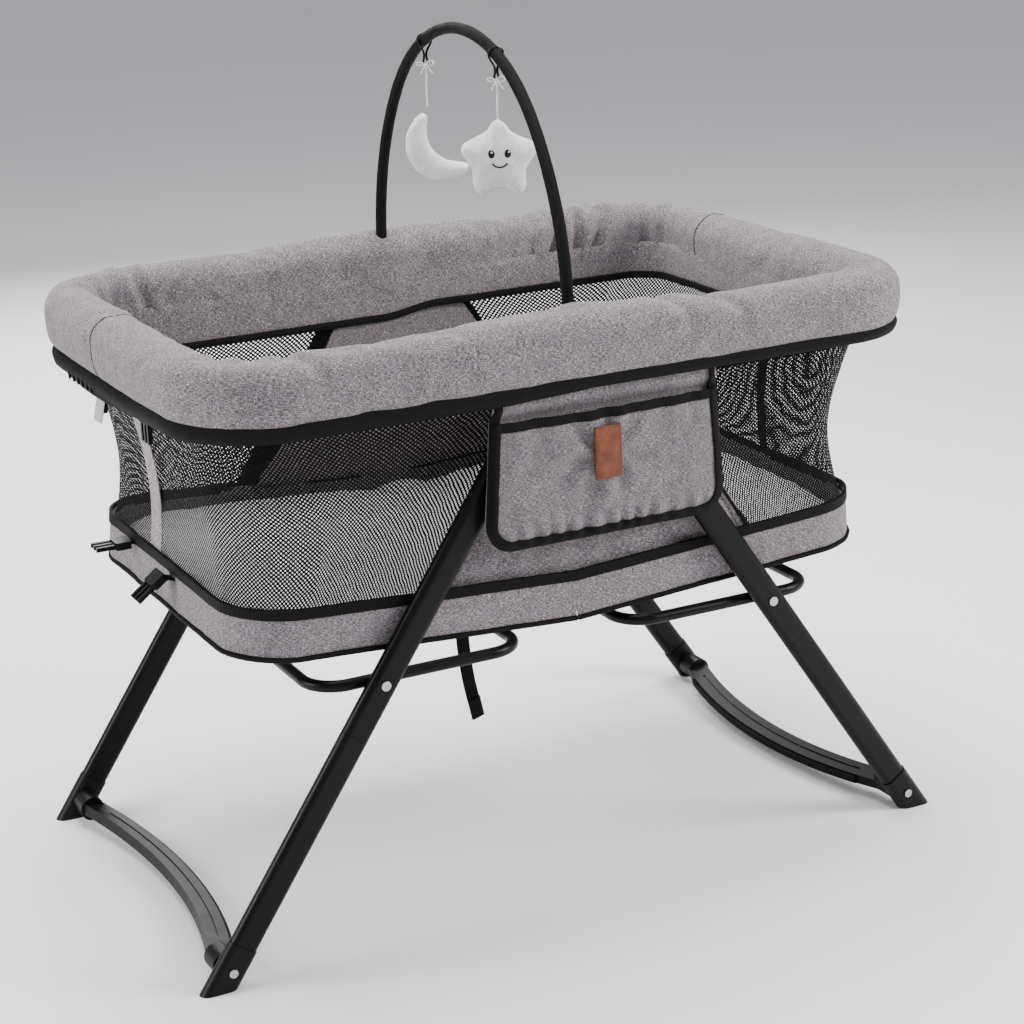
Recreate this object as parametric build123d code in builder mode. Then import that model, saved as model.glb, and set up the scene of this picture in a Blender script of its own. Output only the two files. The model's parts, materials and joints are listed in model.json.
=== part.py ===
from build123d import *
import os
from math import atan2, cos, degrees, hypot, radians, sin, sqrt

os.makedirs("parts", exist_ok=True)

# Bassinet on a folding rocker stand. Millimetres, +Z up, origin on the floor under its centre.
# X runs along the cot, Y across it. "near" is -Y, "far" is +Y, "left" is -X, "right" is +X.

# Layers across the cot, each side of the middle
LEG_Y = 258.5
LEG_THICK = 17.0
OUTER_PLATE_Y = 270.5
INNER_PLATE_Y = 246.5
PLATE_THICK = 4.0
LOOP_Y = 242.0
ARCH_Y = 243.0

# Rim
RIM_Z = 645.0
RIM_PIVOT_X = 110.0
RIM_TUBE = 16.0
RIM_TUBE_WALL = 1.5
RIM_TUBE_END = 12.0
RIM_TUBE_X = 408.5
RIM_TUBE_CORNER = 70.0
PAD_X = 418.0
PAD_Y = 268.0
PAD_CORNER = 80.0
PAD_WIDE = 64.0
PAD_TALL = 80.0
PAD_ROUND = 22.0
PAD_START = 165.0
SEAM_GAP = 2.0
FABRIC = 3.0

# Legs
LEG_PIVOT_X = 30.0
LEG_PIVOT_Z = 630.0
FOOT_X = 457.0
LEG_WIDE = 33.0
LEG_WALL = 1.5
LEG_JOINT_Z = 257.0
JOINT_GAP = 0.4
SPIGOT_REACH = 60.0
SPIGOT_CLEAR = 0.25
SPIGOT_WALL = 2.0
SPIGOT_HOLE_R = 3.5
FOOT_SCREW_Z = 22.0
FOOT_CAP_TALL = 46.0
FOOT_CAP_WALL = 1.3
FOOT_BORE_RISE = 5.0
FOOT_SOLE = 7.0
RIVET_Z = 310.7

# Support loops
LOOP_TUBE = 13.4
LOOP_OUT_X = 316.6
LOOP_IN_X = 66.0
LOOP_CORNER = 38.0

# Rockers
ROCKER_TILT = 12.0
ROCKER_SAGITTA = 35.0
ROCKER_WIDE = 26.0
ROCKER_THICK = 13.0
ROCKER_HALF = 226.0
KNUCKLE_R = 15.0
KNUCKLE_IN = 218.0
KNUCKLE_OUT = 246.5
ROCKER_PAD_THICK = 4.0
ROCKER_PAD_WIDE = 9.0
ROCKER_PAD_HALF = 190.0
GROOVE_WIDE = 3.0
GROOVE_DEEP = 1.2
GROOVE_SHORT = 40.0

# Base
BASE_TILT = 3.3
HINGE_X = 20.0
HINGE_Z = 340.0
BASE_END = 371.0
FRAME_TUBE = 10.0
FRAME_Y = 226.0
FRAME_CORNER = 66.0
FRAME_WALL = 1.0
FRAME_PAST_HINGE = 7.0
BOARD_START = 4.0
BOARD_GAP = 0.2
BOARD_MARGIN = 1.0
BOARD_CORNER = 71.0
MATTRESS_GAP = 0.5
MATTRESS_ROUND = 6.0
BOARD_THICK = 3.0
MATTRESS_THICK = 21.0
MATTRESS_Y = 226.0
MATTRESS_END = 366.0
BAND_Y = 245.0
BAND_X = 400.0
BAND_CORNER = 74.0
BAND_LOW = -9.0
BAND_HIGH = 49.0
BAND_START = 4.0

# Side walls: height, half length, half width and corner radius of each level
WALL_LEVELS = (
    (384.0, 398.0, 244.0, 74.0),
    (440.0, 390.0, 236.0, 88.0),
    (500.0, 391.0, 234.0, 96.0),
    (560.0, 401.0, 239.0, 88.0),
    (604.0, 412.0, 245.0, 78.0),
)
WALL_THICK = 2.0
# Left and right edges of the grey middle panel, at its top and bottom
PANEL_TOP = (-56.0, 100.0)
PANEL_LOW = (-192.0, 236.0)
PANEL_GAP = 0.6

# Pocket
POCKET_LEFT = -116.0
POCKET_RIGHT = 160.0
POCKET_FLARE = 12.0
POCKET_TOP = 600.0
POCKET_LOW = 440.0
POCKET_CORNER = 34.0
POCKET_BACK = -276.0
POCKET_DEEP = 16.0
POCKET_SHEET = 2.5
POCKET_EDGE = 6.5
POCKET_MOUTH = 583.0

# Toy arch
ARCH_FOOT_Z = 676.0
ARCH_TOP_Z = 963.0
ARCH_SIDE_R = 330.0
ARCH_ROD = 9.0
ARCH_SLEEVE = 13.5
SOCKET_LOW = 612.0
SOCKET_TOP = 666.0
SOCKET_OUTER = 15.0
SOCKET_CLEAR = 0.06
SLEEVE_LOW = 668.0
SLEEVE_GAP = 0.1

# Toys, hung facing a corner of the cot
TOY_TURN = -26.75
TOY_Y = 91.0
STRING = 2.0
MOON_TOP = 865.0
STAR_TOP = 872.0
STRING_TOP = 916.0

# Pins, rivets and screws
PIN = 8.0
PIN_HEAD_R = 7.0
PIN_HEAD_THICK = 2.0
PIN_IN = INNER_PLATE_Y - PLATE_THICK / 2
PIN_OUT = OUTER_PLATE_Y + PLATE_THICK / 2
RIVET = 5.0
RIVET_HEAD_R = 5.5
RIVET_HEAD_THICK = 1.8
RIVET_PROUD = 1.0
SCREW_HEAD_R = 5.0
SCREW_HEAD_THICK = 2.2
SCREW_SHORT = 4.0
RUN_CLEAR = 0.05
# Where a hole's cutter starts and ends, across the cot
BORE_OUT = 300.0
BORE_IN = 200.0
INNER_BORE = (230.0, 260.0)
OUTER_BORE = (262.0, 300.0)

# Hubs and their release buttons
HUB_ROUND = 30.0
SOCKET_FLOOR = 4.0
SLEEVE_NOTCH_GAP = 0.5
BUTTON_X = 128.0
BUTTON_Z = 601.0
BUTTON_WIDE = 10.0
BUTTON_DEEP = 8.0
BUTTON_TALL = 16.0
BUTTON_PLAY = 0.2
BUTTON_ROUND = 2.0
BUTTON_BEVEL = 0.8
HOUSING_WALL = 2.0
HOUSING_TALL = 20.0
HOUSING_RISE = 4.0
HOUSING_MOUTH = 2.0
HOUSING_FACE = OUTER_PLATE_Y + PLATE_THICK / 2

# Fabric cover over the middle of the rim
COVER_HALF = PAD_START - SEAM_GAP
COVER_SLOT_X = 140.0
COVER_SLOT_Y = 43.0
COVER_SLOT_TALL = 14.0
COVER_SLOT_SHIFT = 8.0
TUBE_GAP = 0.3
CUT = 1.0

# Middle slat and its hinge ears
SLAT_WIDE = 24.0
SLAT_LOW = 331.0
SLAT_TALL = 5.0
EAR_Y = 215.0
EAR_THICK = 4.0
EAR_REACH = 5.5
EAR_PIN_OUT = 7.0

# Webbing strap that hangs from the slat
STRAP_Y = 55.0
STRAP_WIDE = 18.0
STRAP_THICK = 2.0
STRAP_ROUTE = ((-4.0, 330.7), (-3.0, 250.0), (3.0, 170.0), (16.0, 104.0))

# Moon, placed from the end of its string
MOON_R = 42.0
MOON_BITE_R = 37.0
MOON_BITE = (19.0, 15.0)
MOON_TIP = 5.0
MOON_THICK = 26.0
MOON_CENTRE = (15.0, -42.0)
MOON_BEVEL = 4.0

# Star
STAR_R = 50.54
STAR_INNER_R = 30.0
STAR_TIP = 9.0
STAR_THICK = 30.0
STAR_DROP = 44.0
STAR_BEVEL = 5.0
STAR_TIPS = 5

# Buckle plugs: where each is sewn on, and the way its flat side faces
BUCKLE_WIDE = 26.0
BUCKLE_BODY = 19.3
BUCKLE_ROUND = 3.0
BUCKLE_THICK = 9.0
BUCKLE_STEP = 2.0
PRONG_WIDE = 4.5
PRONG_LONG = 26.7
PRONG_ROUND = 1.5
PRONG_INSET = 3.0
UPPER_BUCKLES = (((-414.0, -50.0, 590.0), (-1, 0, 0)), ((-414.0, 105.0, 590.0), (-1, 0, 0)))
LOWER_BUCKLES = (((-414.0, -35.0, 392.0), (-0.6, 0, 0.8)), ((-414.0, 95.0, 396.0), (0, 0, 1)))


def leg_point(z, side):
    """A point of the leg's centre line in the XZ plane."""
    share = (LEG_PIVOT_Z - z) / LEG_PIVOT_Z
    return side * (LEG_PIVOT_X + (FOOT_X - LEG_PIVOT_X) * share), z


def leg_plane(z, side, across):
    """A plane across the leg at height z, its normal running down the leg."""
    x, _ = leg_point(z, side)
    down = (side * (FOOT_X - LEG_PIVOT_X), 0, -LEG_PIVOT_Z)
    return Plane(origin=(x, across * LEG_Y, z), x_dir=(0, 1, 0), z_dir=down)


LEG_LONG = hypot(FOOT_X - LEG_PIVOT_X, LEG_PIVOT_Z)


def along_leg(z_from, z_to):
    """Length of leg between two heights."""
    return (z_from - z_to) / LEG_PIVOT_Z * LEG_LONG


def y_plane(x, y, z):
    """A plane facing -Y, its local axes along +X and +Z."""
    return Plane(origin=(x, y, z), x_dir=(1, 0, 0), z_dir=(0, -1, 0))


def pin(x, z, y_from, y_to, radius, mode=Mode.ADD):
    """A round pin along Y, added to the part being built."""
    with BuildSketch(y_plane(x, max(y_from, y_to), z)) as section:
        Circle(radius)
    extrude(section.sketch, amount=abs(y_to - y_from), mode=mode)


def save(part, label):
    """Label a finished piece and write its STEP file."""
    part.label = label
    export_step(part, f"parts/{label}.step")


def opposite(part, plane, label):
    """The same piece mirrored to the other side."""
    with BuildPart() as copy:
        mirror(part, about=plane)
    save(copy.part, label)
    return copy.part


def u_path(x_from, x_to, y_half, corner, z):
    """A U seen from above, open towards +X, from the near side to the far side."""
    return FilletPolyline(
        (x_from, -y_half, z), (x_to, -y_half, z), (x_to, y_half, z), (x_from, y_half, z),
        radius=corner,
    )

# ---------------------------------------------------------------- hubs
def hub_outline():
    """The long rounded plate shape that both hub plates share."""
    SlotCenterToCenter(2 * RIM_PIVOT_X, 2 * HUB_ROUND)


with BuildPart() as hub_outer_near:
    with BuildSketch(y_plane(0, -OUTER_PLATE_Y + PLATE_THICK / 2, RIM_Z)):
        hub_outline()
    extrude(amount=PLATE_THICK)
    for side in (-1, 1):
        # Housing of the release button, open underneath
        housing_at = (side * BUTTON_X, -HOUSING_FACE - BUTTON_DEEP / 2, BUTTON_Z + HOUSING_RISE)
        with BuildSketch(Plane(housing_at)):
            Rectangle(BUTTON_WIDE + 2 * HOUSING_WALL, BUTTON_DEEP + 2 * HOUSING_WALL)
        extrude(amount=HOUSING_TALL)
    for side in (-1, 1):
        mouth_at = (side * BUTTON_X, -HOUSING_FACE - BUTTON_DEEP / 2, BUTTON_Z + HOUSING_MOUTH)
        with BuildSketch(Plane(mouth_at)):
            Rectangle(BUTTON_WIDE + 2 * BUTTON_PLAY, BUTTON_DEEP + 2 * BUTTON_PLAY)
        extrude(amount=HOUSING_TALL, mode=Mode.SUBTRACT)
    for side in (-1, 1):
        for x, z in ((RIM_PIVOT_X, RIM_Z), (LEG_PIVOT_X, LEG_PIVOT_Z)):
            pin(side * x, z, -OUTER_BORE[1], -OUTER_BORE[0], PIN / 2, Mode.SUBTRACT)
save(hub_outer_near.part, "hub_outer_near")
opposite(hub_outer_near.part, Plane.XZ, "hub_outer_far")

with BuildPart() as hub_inner_near:
    with BuildSketch(y_plane(0, -INNER_PLATE_Y + PLATE_THICK / 2, RIM_Z)):
        hub_outline()
    extrude(amount=PLATE_THICK)
    with BuildSketch(Plane((0, -ARCH_Y, SOCKET_LOW))):
        Circle(SOCKET_OUTER / 2)
    extrude(amount=SOCKET_TOP - SOCKET_LOW)
    with BuildSketch(Plane((0, -ARCH_Y, SOCKET_LOW + SOCKET_FLOOR))):
        Circle(ARCH_ROD / 2 + SOCKET_CLEAR)
    extrude(amount=SOCKET_TOP - SOCKET_LOW, mode=Mode.SUBTRACT)
    # The plate is notched above the socket for the arch's sleeve
    with BuildSketch(Plane((0, -ARCH_Y, SOCKET_TOP))):
        Circle(ARCH_SLEEVE / 2 + SLEEVE_NOTCH_GAP)
    extrude(amount=RIM_Z + HUB_ROUND + CUT - SOCKET_TOP, mode=Mode.SUBTRACT)
    for side in (-1, 1):
        for x, z in ((RIM_PIVOT_X, RIM_Z), (LEG_PIVOT_X, LEG_PIVOT_Z)):
            pin(side * x, z, -INNER_BORE[1], -INNER_BORE[0], PIN / 2, Mode.SUBTRACT)
save(hub_inner_near.part, "hub_inner_near")
opposite(hub_inner_near.part, Plane.XZ, "hub_inner_far")

with BuildPart() as pivot_pins:
    for across in (-1, 1):
        for side in (-1, 1):
            for x, z in ((RIM_PIVOT_X, RIM_Z), (LEG_PIVOT_X, LEG_PIVOT_Z)):
                pin(side * x, z, across * PIN_IN, across * PIN_OUT, PIN / 2)
                pin(side * x, z, across * PIN_OUT, across * (PIN_OUT + PIN_HEAD_THICK), PIN_HEAD_R)
save(pivot_pins.part, "pivot_pins")

# One release button under each end of each hub
for across, across_name in ((-1, "near"), (1, "far")):
    for side, side_name in ((-1, "left"), (1, "right")):
        button_at = (side * BUTTON_X, across * (HOUSING_FACE + BUTTON_DEEP / 2), BUTTON_Z)
        with BuildPart() as release_button:
            with BuildSketch(Plane(button_at)):
                RectangleRounded(BUTTON_WIDE - BUTTON_PLAY, BUTTON_DEEP - BUTTON_PLAY, BUTTON_ROUND)
            extrude(amount=BUTTON_TALL)
            chamfer(release_button.faces().sort_by(Axis.Z)[0].edges(), BUTTON_BEVEL)
        save(release_button.part, f"release_button_{across_name}_{side_name}")

# ---------------------------------------------------------------- rim
with BuildPart() as rim_tube_left:
    with BuildLine() as tube_line:
        u_path(-RIM_PIVOT_X + RIM_TUBE_END, -RIM_TUBE_X, LEG_Y, RIM_TUBE_CORNER, RIM_Z)
    with BuildSketch(Plane(tube_line.line @ 0, z_dir=tube_line.line % 0)):
        Circle(RIM_TUBE / 2)
        Circle(RIM_TUBE / 2 - RIM_TUBE_WALL, mode=Mode.SUBTRACT)
    sweep(path=tube_line.line)
    pin(-RIM_PIVOT_X, RIM_Z, -BORE_OUT, BORE_OUT, PIN / 2 + RUN_CLEAR, Mode.SUBTRACT)
save(rim_tube_left.part, "rim_tube_left")
opposite(rim_tube_left.part, Plane.YZ, "rim_tube_right")

with BuildPart() as rim_pad_left:
    with BuildLine() as pad_line:
        u_path(-PAD_START, -PAD_X, PAD_Y, PAD_CORNER, RIM_Z)
    pad_plane = Plane(pad_line.line @ 0, x_dir=(0, 1, 0), z_dir=pad_line.line % 0)
    with BuildSketch(pad_plane):
        RectangleRounded(PAD_WIDE, PAD_TALL, PAD_ROUND)
        with Locations((PAD_Y - LEG_Y, 0)):
            Circle(RIM_TUBE / 2 + TUBE_GAP, mode=Mode.SUBTRACT)
    sweep(path=pad_line.line)
save(rim_pad_left.part, "rim_pad_left")
opposite(rim_pad_left.part, Plane.YZ, "rim_pad_right")

with BuildPart() as centre_cover_near:
    with BuildSketch(Plane((-COVER_HALF, -PAD_Y, RIM_Z), x_dir=(0, 1, 0), z_dir=(1, 0, 0))):
        RectangleRounded(PAD_WIDE, PAD_TALL, PAD_ROUND)
        RectangleRounded(
            PAD_WIDE - 2 * FABRIC, PAD_TALL - 2 * FABRIC, PAD_ROUND - FABRIC, mode=Mode.SUBTRACT
        )
    extrude(amount=2 * COVER_HALF)
    # Slot underneath for the legs and the release buttons
    with BuildSketch(Plane((0, -LEG_Y - COVER_SLOT_SHIFT, RIM_Z - PAD_TALL / 2 - CUT))):
        Rectangle(2 * COVER_SLOT_X, COVER_SLOT_Y)
    extrude(amount=COVER_SLOT_TALL + CUT, mode=Mode.SUBTRACT)
    # Passage for the arch and its socket
    with BuildSketch(Plane((0, -ARCH_Y, RIM_Z - PAD_TALL / 2 - CUT))):
        Circle(SOCKET_OUTER / 2 + SLEEVE_NOTCH_GAP)
    extrude(amount=PAD_TALL + 2 * CUT, mode=Mode.SUBTRACT)
save(centre_cover_near.part, "centre_cover_near")
opposite(centre_cover_near.part, Plane.XZ, "centre_cover_far")

# ---------------------------------------------------------------- legs
for side, side_name in ((-1, "left"), (1, "right")):
    rivet_x, _ = leg_point(RIVET_Z, side)
    screw_x, _ = leg_point(FOOT_SCREW_Z, side)
    for across, across_name in ((-1, "near"), (1, "far")):
        with BuildPart() as upper_leg:
            # The closed top reaches half a width past the pivot
            with BuildSketch(leg_plane(LEG_PIVOT_Z, side, across).offset(-LEG_WIDE / 2)):
                SlotOverall(LEG_WIDE, LEG_THICK, rotation=90)
            extrude(amount=along_leg(LEG_PIVOT_Z, LEG_JOINT_Z) + LEG_WIDE / 2)
            with BuildSketch(leg_plane(LEG_PIVOT_Z, side, across)):
                SlotOverall(LEG_WIDE - 2 * LEG_WALL, LEG_THICK - 2 * LEG_WALL, rotation=90)
            extrude(amount=along_leg(LEG_PIVOT_Z, LEG_JOINT_Z), mode=Mode.SUBTRACT)
            pivot = (side * LEG_PIVOT_X, LEG_PIVOT_Z)
            pin(*pivot, across * BORE_OUT, across * BORE_IN, PIN / 2 + RUN_CLEAR, Mode.SUBTRACT)
            pin(rivet_x, RIVET_Z, across * BORE_OUT, across * BORE_IN, RIVET / 2, Mode.SUBTRACT)
        save(upper_leg.part, f"upper_leg_{across_name}_{side_name}")

        with BuildPart() as lower_leg:
            with BuildSketch(leg_plane(LEG_JOINT_Z, side, across).offset(JOINT_GAP)):
                SlotOverall(LEG_WIDE, LEG_THICK, rotation=90)
                SlotOverall(LEG_WIDE - 2 * LEG_WALL, LEG_THICK - 2 * LEG_WALL, rotation=90,
                            mode=Mode.SUBTRACT)
            extrude(amount=along_leg(LEG_JOINT_Z, 0))
            split(bisect_by=Plane.XY.offset(FOOT_SOLE), keep=Keep.TOP)
            pin(screw_x, FOOT_SCREW_Z, across * BORE_OUT, across * BORE_IN, RIVET / 2, Mode.SUBTRACT)
        save(lower_leg.part, f"lower_leg_{across_name}_{side_name}")

    # Inner spigots that the lower legs slide on
    spigot_wide = LEG_WIDE - 2 * LEG_WALL - 2 * SPIGOT_CLEAR
    spigot_thick = LEG_THICK - 2 * LEG_WALL - 2 * SPIGOT_CLEAR
    with BuildPart() as leg_spigots:
        for across in (-1, 1):
            with BuildSketch(leg_plane(LEG_JOINT_Z, side, across).offset(-SPIGOT_REACH)):
                SlotOverall(spigot_wide, spigot_thick, rotation=90)
                SlotOverall(spigot_wide - 2 * SPIGOT_WALL, spigot_thick - 2 * SPIGOT_WALL, rotation=90,
                            mode=Mode.SUBTRACT)
            extrude(amount=2 * SPIGOT_REACH)
            pin(rivet_x, RIVET_Z, across * BORE_OUT, across * BORE_IN, SPIGOT_HOLE_R, Mode.SUBTRACT)
    save(leg_spigots.part, f"leg_spigots_{side_name}")

    # Rivets that carry the support loop
    leg_face = LEG_Y + LEG_THICK / 2
    with BuildPart() as leg_rivets:
        for across in (-1, 1):
            rivet_in = LOOP_Y - LOOP_TUBE / 2 - RIVET_PROUD
            rivet_out = leg_face + RIVET_HEAD_THICK
            pin(rivet_x, RIVET_Z, across * rivet_in, across * leg_face, RIVET / 2)
            pin(rivet_x, RIVET_Z, across * leg_face, across * rivet_out, RIVET_HEAD_R)
    save(leg_rivets.part, f"leg_rivets_{side_name}")

    # Feet: sockets over the leg ends, cut flat on the floor
    past_floor = along_leg(FOOT_CAP_TALL, 0) + LEG_WIDE
    with BuildPart() as foot_bores:
        for across in (-1, 1):
            with BuildSketch(leg_plane(FOOT_CAP_TALL + FOOT_BORE_RISE, side, across)):
                SlotOverall(LEG_WIDE, LEG_THICK, rotation=90)
            extrude(amount=past_floor)
        split(bisect_by=Plane.XY.offset(FOOT_SOLE), keep=Keep.TOP)
    with BuildPart() as foot_caps:
        for across in (-1, 1):
            with BuildSketch(leg_plane(FOOT_CAP_TALL, side, across)):
                SlotOverall(LEG_WIDE + 2 * FOOT_CAP_WALL, LEG_THICK + 2 * FOOT_CAP_WALL, rotation=90)
            extrude(amount=past_floor)
        split(bisect_by=Plane.XY, keep=Keep.TOP)
        add(foot_bores.part, mode=Mode.SUBTRACT)
        for across in (-1, 1):
            pin(screw_x, FOOT_SCREW_Z, across * BORE_OUT, across * BORE_IN, RIVET / 2, Mode.SUBTRACT)
    save(foot_caps.part, f"foot_caps_{side_name}")

    cap_face = leg_face + FOOT_CAP_WALL
    with BuildPart() as foot_screws:
        for across in (-1, 1):
            screw_in = KNUCKLE_IN + SCREW_SHORT
            screw_out = cap_face + SCREW_HEAD_THICK
            pin(screw_x, FOOT_SCREW_Z, across * screw_in, across * cap_face, RIVET / 2)
            pin(screw_x, FOOT_SCREW_Z, across * cap_face, across * screw_out, SCREW_HEAD_R)
    save(foot_screws.part, f"foot_screws_{side_name}")

# ---------------------------------------------------------------- rockers
ARC_R = (ROCKER_HALF**2 + ROCKER_SAGITTA**2) / (2 * ROCKER_SAGITTA)
foot_pin_x, _ = leg_point(FOOT_SCREW_Z, -1)
bow = (cos(radians(ROCKER_TILT)), 0, -sin(radians(ROCKER_TILT)))
rocker_plane = Plane(
    origin=(foot_pin_x, 0, FOOT_SCREW_Z), x_dir=(0, 1, 0), z_dir=Vector(0, 1, 0).cross(Vector(*bow))
)


def bow_strip(half, inner, outer):
    """A curved strip between two arcs that share the rocker's centre of curvature."""
    turn = degrees(atan2(half, sqrt(ARC_R**2 - half**2)))
    centre = (0, ROCKER_SAGITTA - ARC_R)
    ends = [(r * sin(radians(turn)), centre[1] + r * cos(radians(turn))) for r in (inner, outer)]
    with BuildLine() as edge:
        ThreePointArc((-ends[1][0], ends[1][1]), (0, centre[1] + outer), ends[1])
        Line(ends[1], ends[0])
        ThreePointArc(ends[0], (0, centre[1] + inner), (-ends[0][0], ends[0][1]))
        Line((-ends[0][0], ends[0][1]), (-ends[1][0], ends[1][1]))
    make_face(edge.edges())


with BuildPart() as rocker_bar_left:
    with BuildSketch(rocker_plane):
        bow_strip(ROCKER_HALF, ARC_R - ROCKER_WIDE / 2, ARC_R + ROCKER_WIDE / 2)
    extrude(amount=ROCKER_THICK / 2, both=True)
    for across in (-1, 1):
        pin(foot_pin_x, FOOT_SCREW_Z, across * KNUCKLE_IN, across * KNUCKLE_OUT, KNUCKLE_R)
    for across in (-1, 1):
        pin(foot_pin_x, FOOT_SCREW_Z, across * BORE_IN, across * INNER_BORE[1], RIVET / 2 + RUN_CLEAR,
            Mode.SUBTRACT)
    # Grooves along both flat sides
    for flat in (-1, 1):
        with BuildSketch(rocker_plane.offset(flat * (ROCKER_THICK / 2 - GROOVE_DEEP / 2))):
            bow_strip(ROCKER_HALF - GROOVE_SHORT, ARC_R - GROOVE_WIDE / 2, ARC_R + GROOVE_WIDE / 2)
        extrude(amount=GROOVE_DEEP / 2, both=True, mode=Mode.SUBTRACT)
save(rocker_bar_left.part, "rocker_bar_left")
opposite(rocker_bar_left.part, Plane.YZ, "rocker_bar_right")

with BuildPart() as rocker_pad_left:
    with BuildSketch(rocker_plane):
        pad_in = ARC_R + ROCKER_WIDE / 2
        bow_strip(ROCKER_PAD_HALF, pad_in, pad_in + ROCKER_PAD_THICK)
    extrude(amount=ROCKER_PAD_WIDE / 2, both=True)
save(rocker_pad_left.part, "rocker_pad_left")
opposite(rocker_pad_left.part, Plane.YZ, "rocker_pad_right")

# ---------------------------------------------------------------- support loops
left_rivet_x, _ = leg_point(RIVET_Z, -1)
with BuildPart() as support_loop_left:
    with BuildLine() as loop_line:
        FilletPolyline(
            (-LOOP_OUT_X, -LOOP_Y, RIVET_Z), (-LOOP_OUT_X, LOOP_Y, RIVET_Z),
            (-LOOP_IN_X, LOOP_Y, RIVET_Z), (-LOOP_IN_X, -LOOP_Y, RIVET_Z),
            radius=LOOP_CORNER, close=True,
        )
    with BuildSketch(Plane(loop_line.line @ 0, z_dir=loop_line.line % 0)):
        Circle(LOOP_TUBE / 2)
    sweep(path=loop_line.line)
    pin(left_rivet_x, RIVET_Z, -BORE_OUT, BORE_OUT, RIVET / 2 + RUN_CLEAR, Mode.SUBTRACT)
save(support_loop_left.part, "support_loop_left")
opposite(support_loop_left.part, Plane.YZ, "support_loop_right")

# ---------------------------------------------------------------- base
tilt = radians(BASE_TILT)
# The left half of the base slopes up from the hinge to its outer end
base_plane = Plane(
    origin=(-HINGE_X, 0, HINGE_Z), x_dir=(-cos(tilt), 0, sin(tilt)), z_dir=(sin(tilt), 0, cos(tilt))
)


def u_outline(start, end, half, corner):
    """A filled U in the base plane: square at the middle of the cot, rounded at its end."""
    with BuildLine() as edge:
        FilletPolyline((start, -half), (end, -half), (end, half), (start, half), radius=corner)
        Line((start, half), (start, -half))
    make_face(edge.edges())


with BuildPart() as base_frame_left:
    with BuildLine(base_plane) as frame_line:
        FilletPolyline(
            (-FRAME_PAST_HINGE, -FRAME_Y), (BASE_END - FRAME_TUBE / 2, -FRAME_Y),
            (BASE_END - FRAME_TUBE / 2, FRAME_Y), (-FRAME_PAST_HINGE, FRAME_Y), radius=FRAME_CORNER,
        )
    with BuildSketch(Plane(frame_line.line @ 0, z_dir=frame_line.line % 0)):
        Circle(FRAME_TUBE / 2)
        Circle(FRAME_TUBE / 2 - FRAME_WALL, mode=Mode.SUBTRACT)
    sweep(path=frame_line.line)
    pin(-HINGE_X, HINGE_Z, -BORE_OUT, BORE_OUT, RIVET / 2 + RUN_CLEAR, Mode.SUBTRACT)
save(base_frame_left.part, "base_frame_left")
opposite(base_frame_left.part, Plane.YZ, "base_frame_right")

with BuildPart() as base_board_left:
    with BuildSketch(base_plane.offset(FRAME_TUBE / 2 + BOARD_GAP)):
        u_outline(BOARD_START, BASE_END, FRAME_Y + BOARD_MARGIN, BOARD_CORNER)
    extrude(amount=BOARD_THICK)
save(base_board_left.part, "base_board_left")
opposite(base_board_left.part, Plane.YZ, "base_board_right")

with BuildPart() as mattress_left:
    with BuildSketch(base_plane.offset(FRAME_TUBE / 2 + BOARD_THICK + MATTRESS_GAP)):
        u_outline(BOARD_START, MATTRESS_END, MATTRESS_Y, FRAME_CORNER)
    extrude(amount=MATTRESS_THICK)
    fillet(mattress_left.faces().sort_by(Axis.Z)[-1].edges(), MATTRESS_ROUND)
save(mattress_left.part, "mattress_left")
opposite(mattress_left.part, Plane.YZ, "mattress_right")

with BuildPart() as base_band_left:
    with BuildSketch(base_plane.offset(BAND_LOW)):
        u_outline(BAND_START - HINGE_X, BAND_X - HINGE_X, BAND_Y, BAND_CORNER)
    extrude(amount=BAND_HIGH - BAND_LOW)
    with BuildSketch(base_plane.offset(BAND_LOW - CUT)):
        inner = (BAND_X - HINGE_X - FABRIC, BAND_Y - FABRIC, BAND_CORNER - FABRIC)
        u_outline(BAND_START - HINGE_X - CUT, *inner)
    extrude(amount=BAND_HIGH - BAND_LOW + 2 * CUT, mode=Mode.SUBTRACT)
save(base_band_left.part, "base_band_left")
opposite(base_band_left.part, Plane.YZ, "base_band_right")

with BuildPart() as centre_slat:
    with BuildSketch(Plane((0, 0, SLAT_LOW))):
        Rectangle(SLAT_WIDE, 2 * EAR_Y)
    extrude(amount=SLAT_TALL)
    for across in (-1, 1):
        with BuildSketch(y_plane(0, across * EAR_Y + EAR_THICK / 2, HINGE_Z)):
            SlotCenterToCenter(2 * HINGE_X, 2 * EAR_REACH)
        extrude(amount=EAR_THICK)
        with BuildSketch(y_plane(0, across * EAR_Y + EAR_THICK / 2, (HINGE_Z + SLAT_LOW) / 2)):
            Rectangle(SLAT_WIDE, HINGE_Z - SLAT_LOW)
        extrude(amount=EAR_THICK)
        for side in (-1, 1):
            pin(side * HINGE_X, HINGE_Z, across * EAR_Y, across * (FRAME_Y + EAR_PIN_OUT), RIVET / 2)
save(centre_slat.part, "centre_slat")

with BuildPart() as fold_strap:
    with BuildLine(Plane((0, STRAP_Y, 0), x_dir=(1, 0, 0), z_dir=(0, -1, 0))) as strap_line:
        Spline(*STRAP_ROUTE)
    with BuildSketch(Plane(strap_line.line @ 0, x_dir=(0, 1, 0), z_dir=strap_line.line % 0)):
        Rectangle(STRAP_THICK, STRAP_WIDE)
    sweep(path=strap_line.line)
save(fold_strap.part, "fold_strap")

# ---------------------------------------------------------------- walls
def wall_shell():
    """The closed ring of wall fabric, waisted between the rim and the base."""
    for inset, mode in ((0, Mode.ADD), (WALL_THICK, Mode.SUBTRACT)):
        levels = []
        for z, half_x, half_y, corner in WALL_LEVELS:
            with BuildSketch(Plane.XY.offset(z)) as level:
                RectangleRounded(2 * (half_x - inset), 2 * (half_y - inset), corner - inset)
            levels.append(level.sketch.faces()[0])
        loft(levels, mode=mode)


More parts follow.
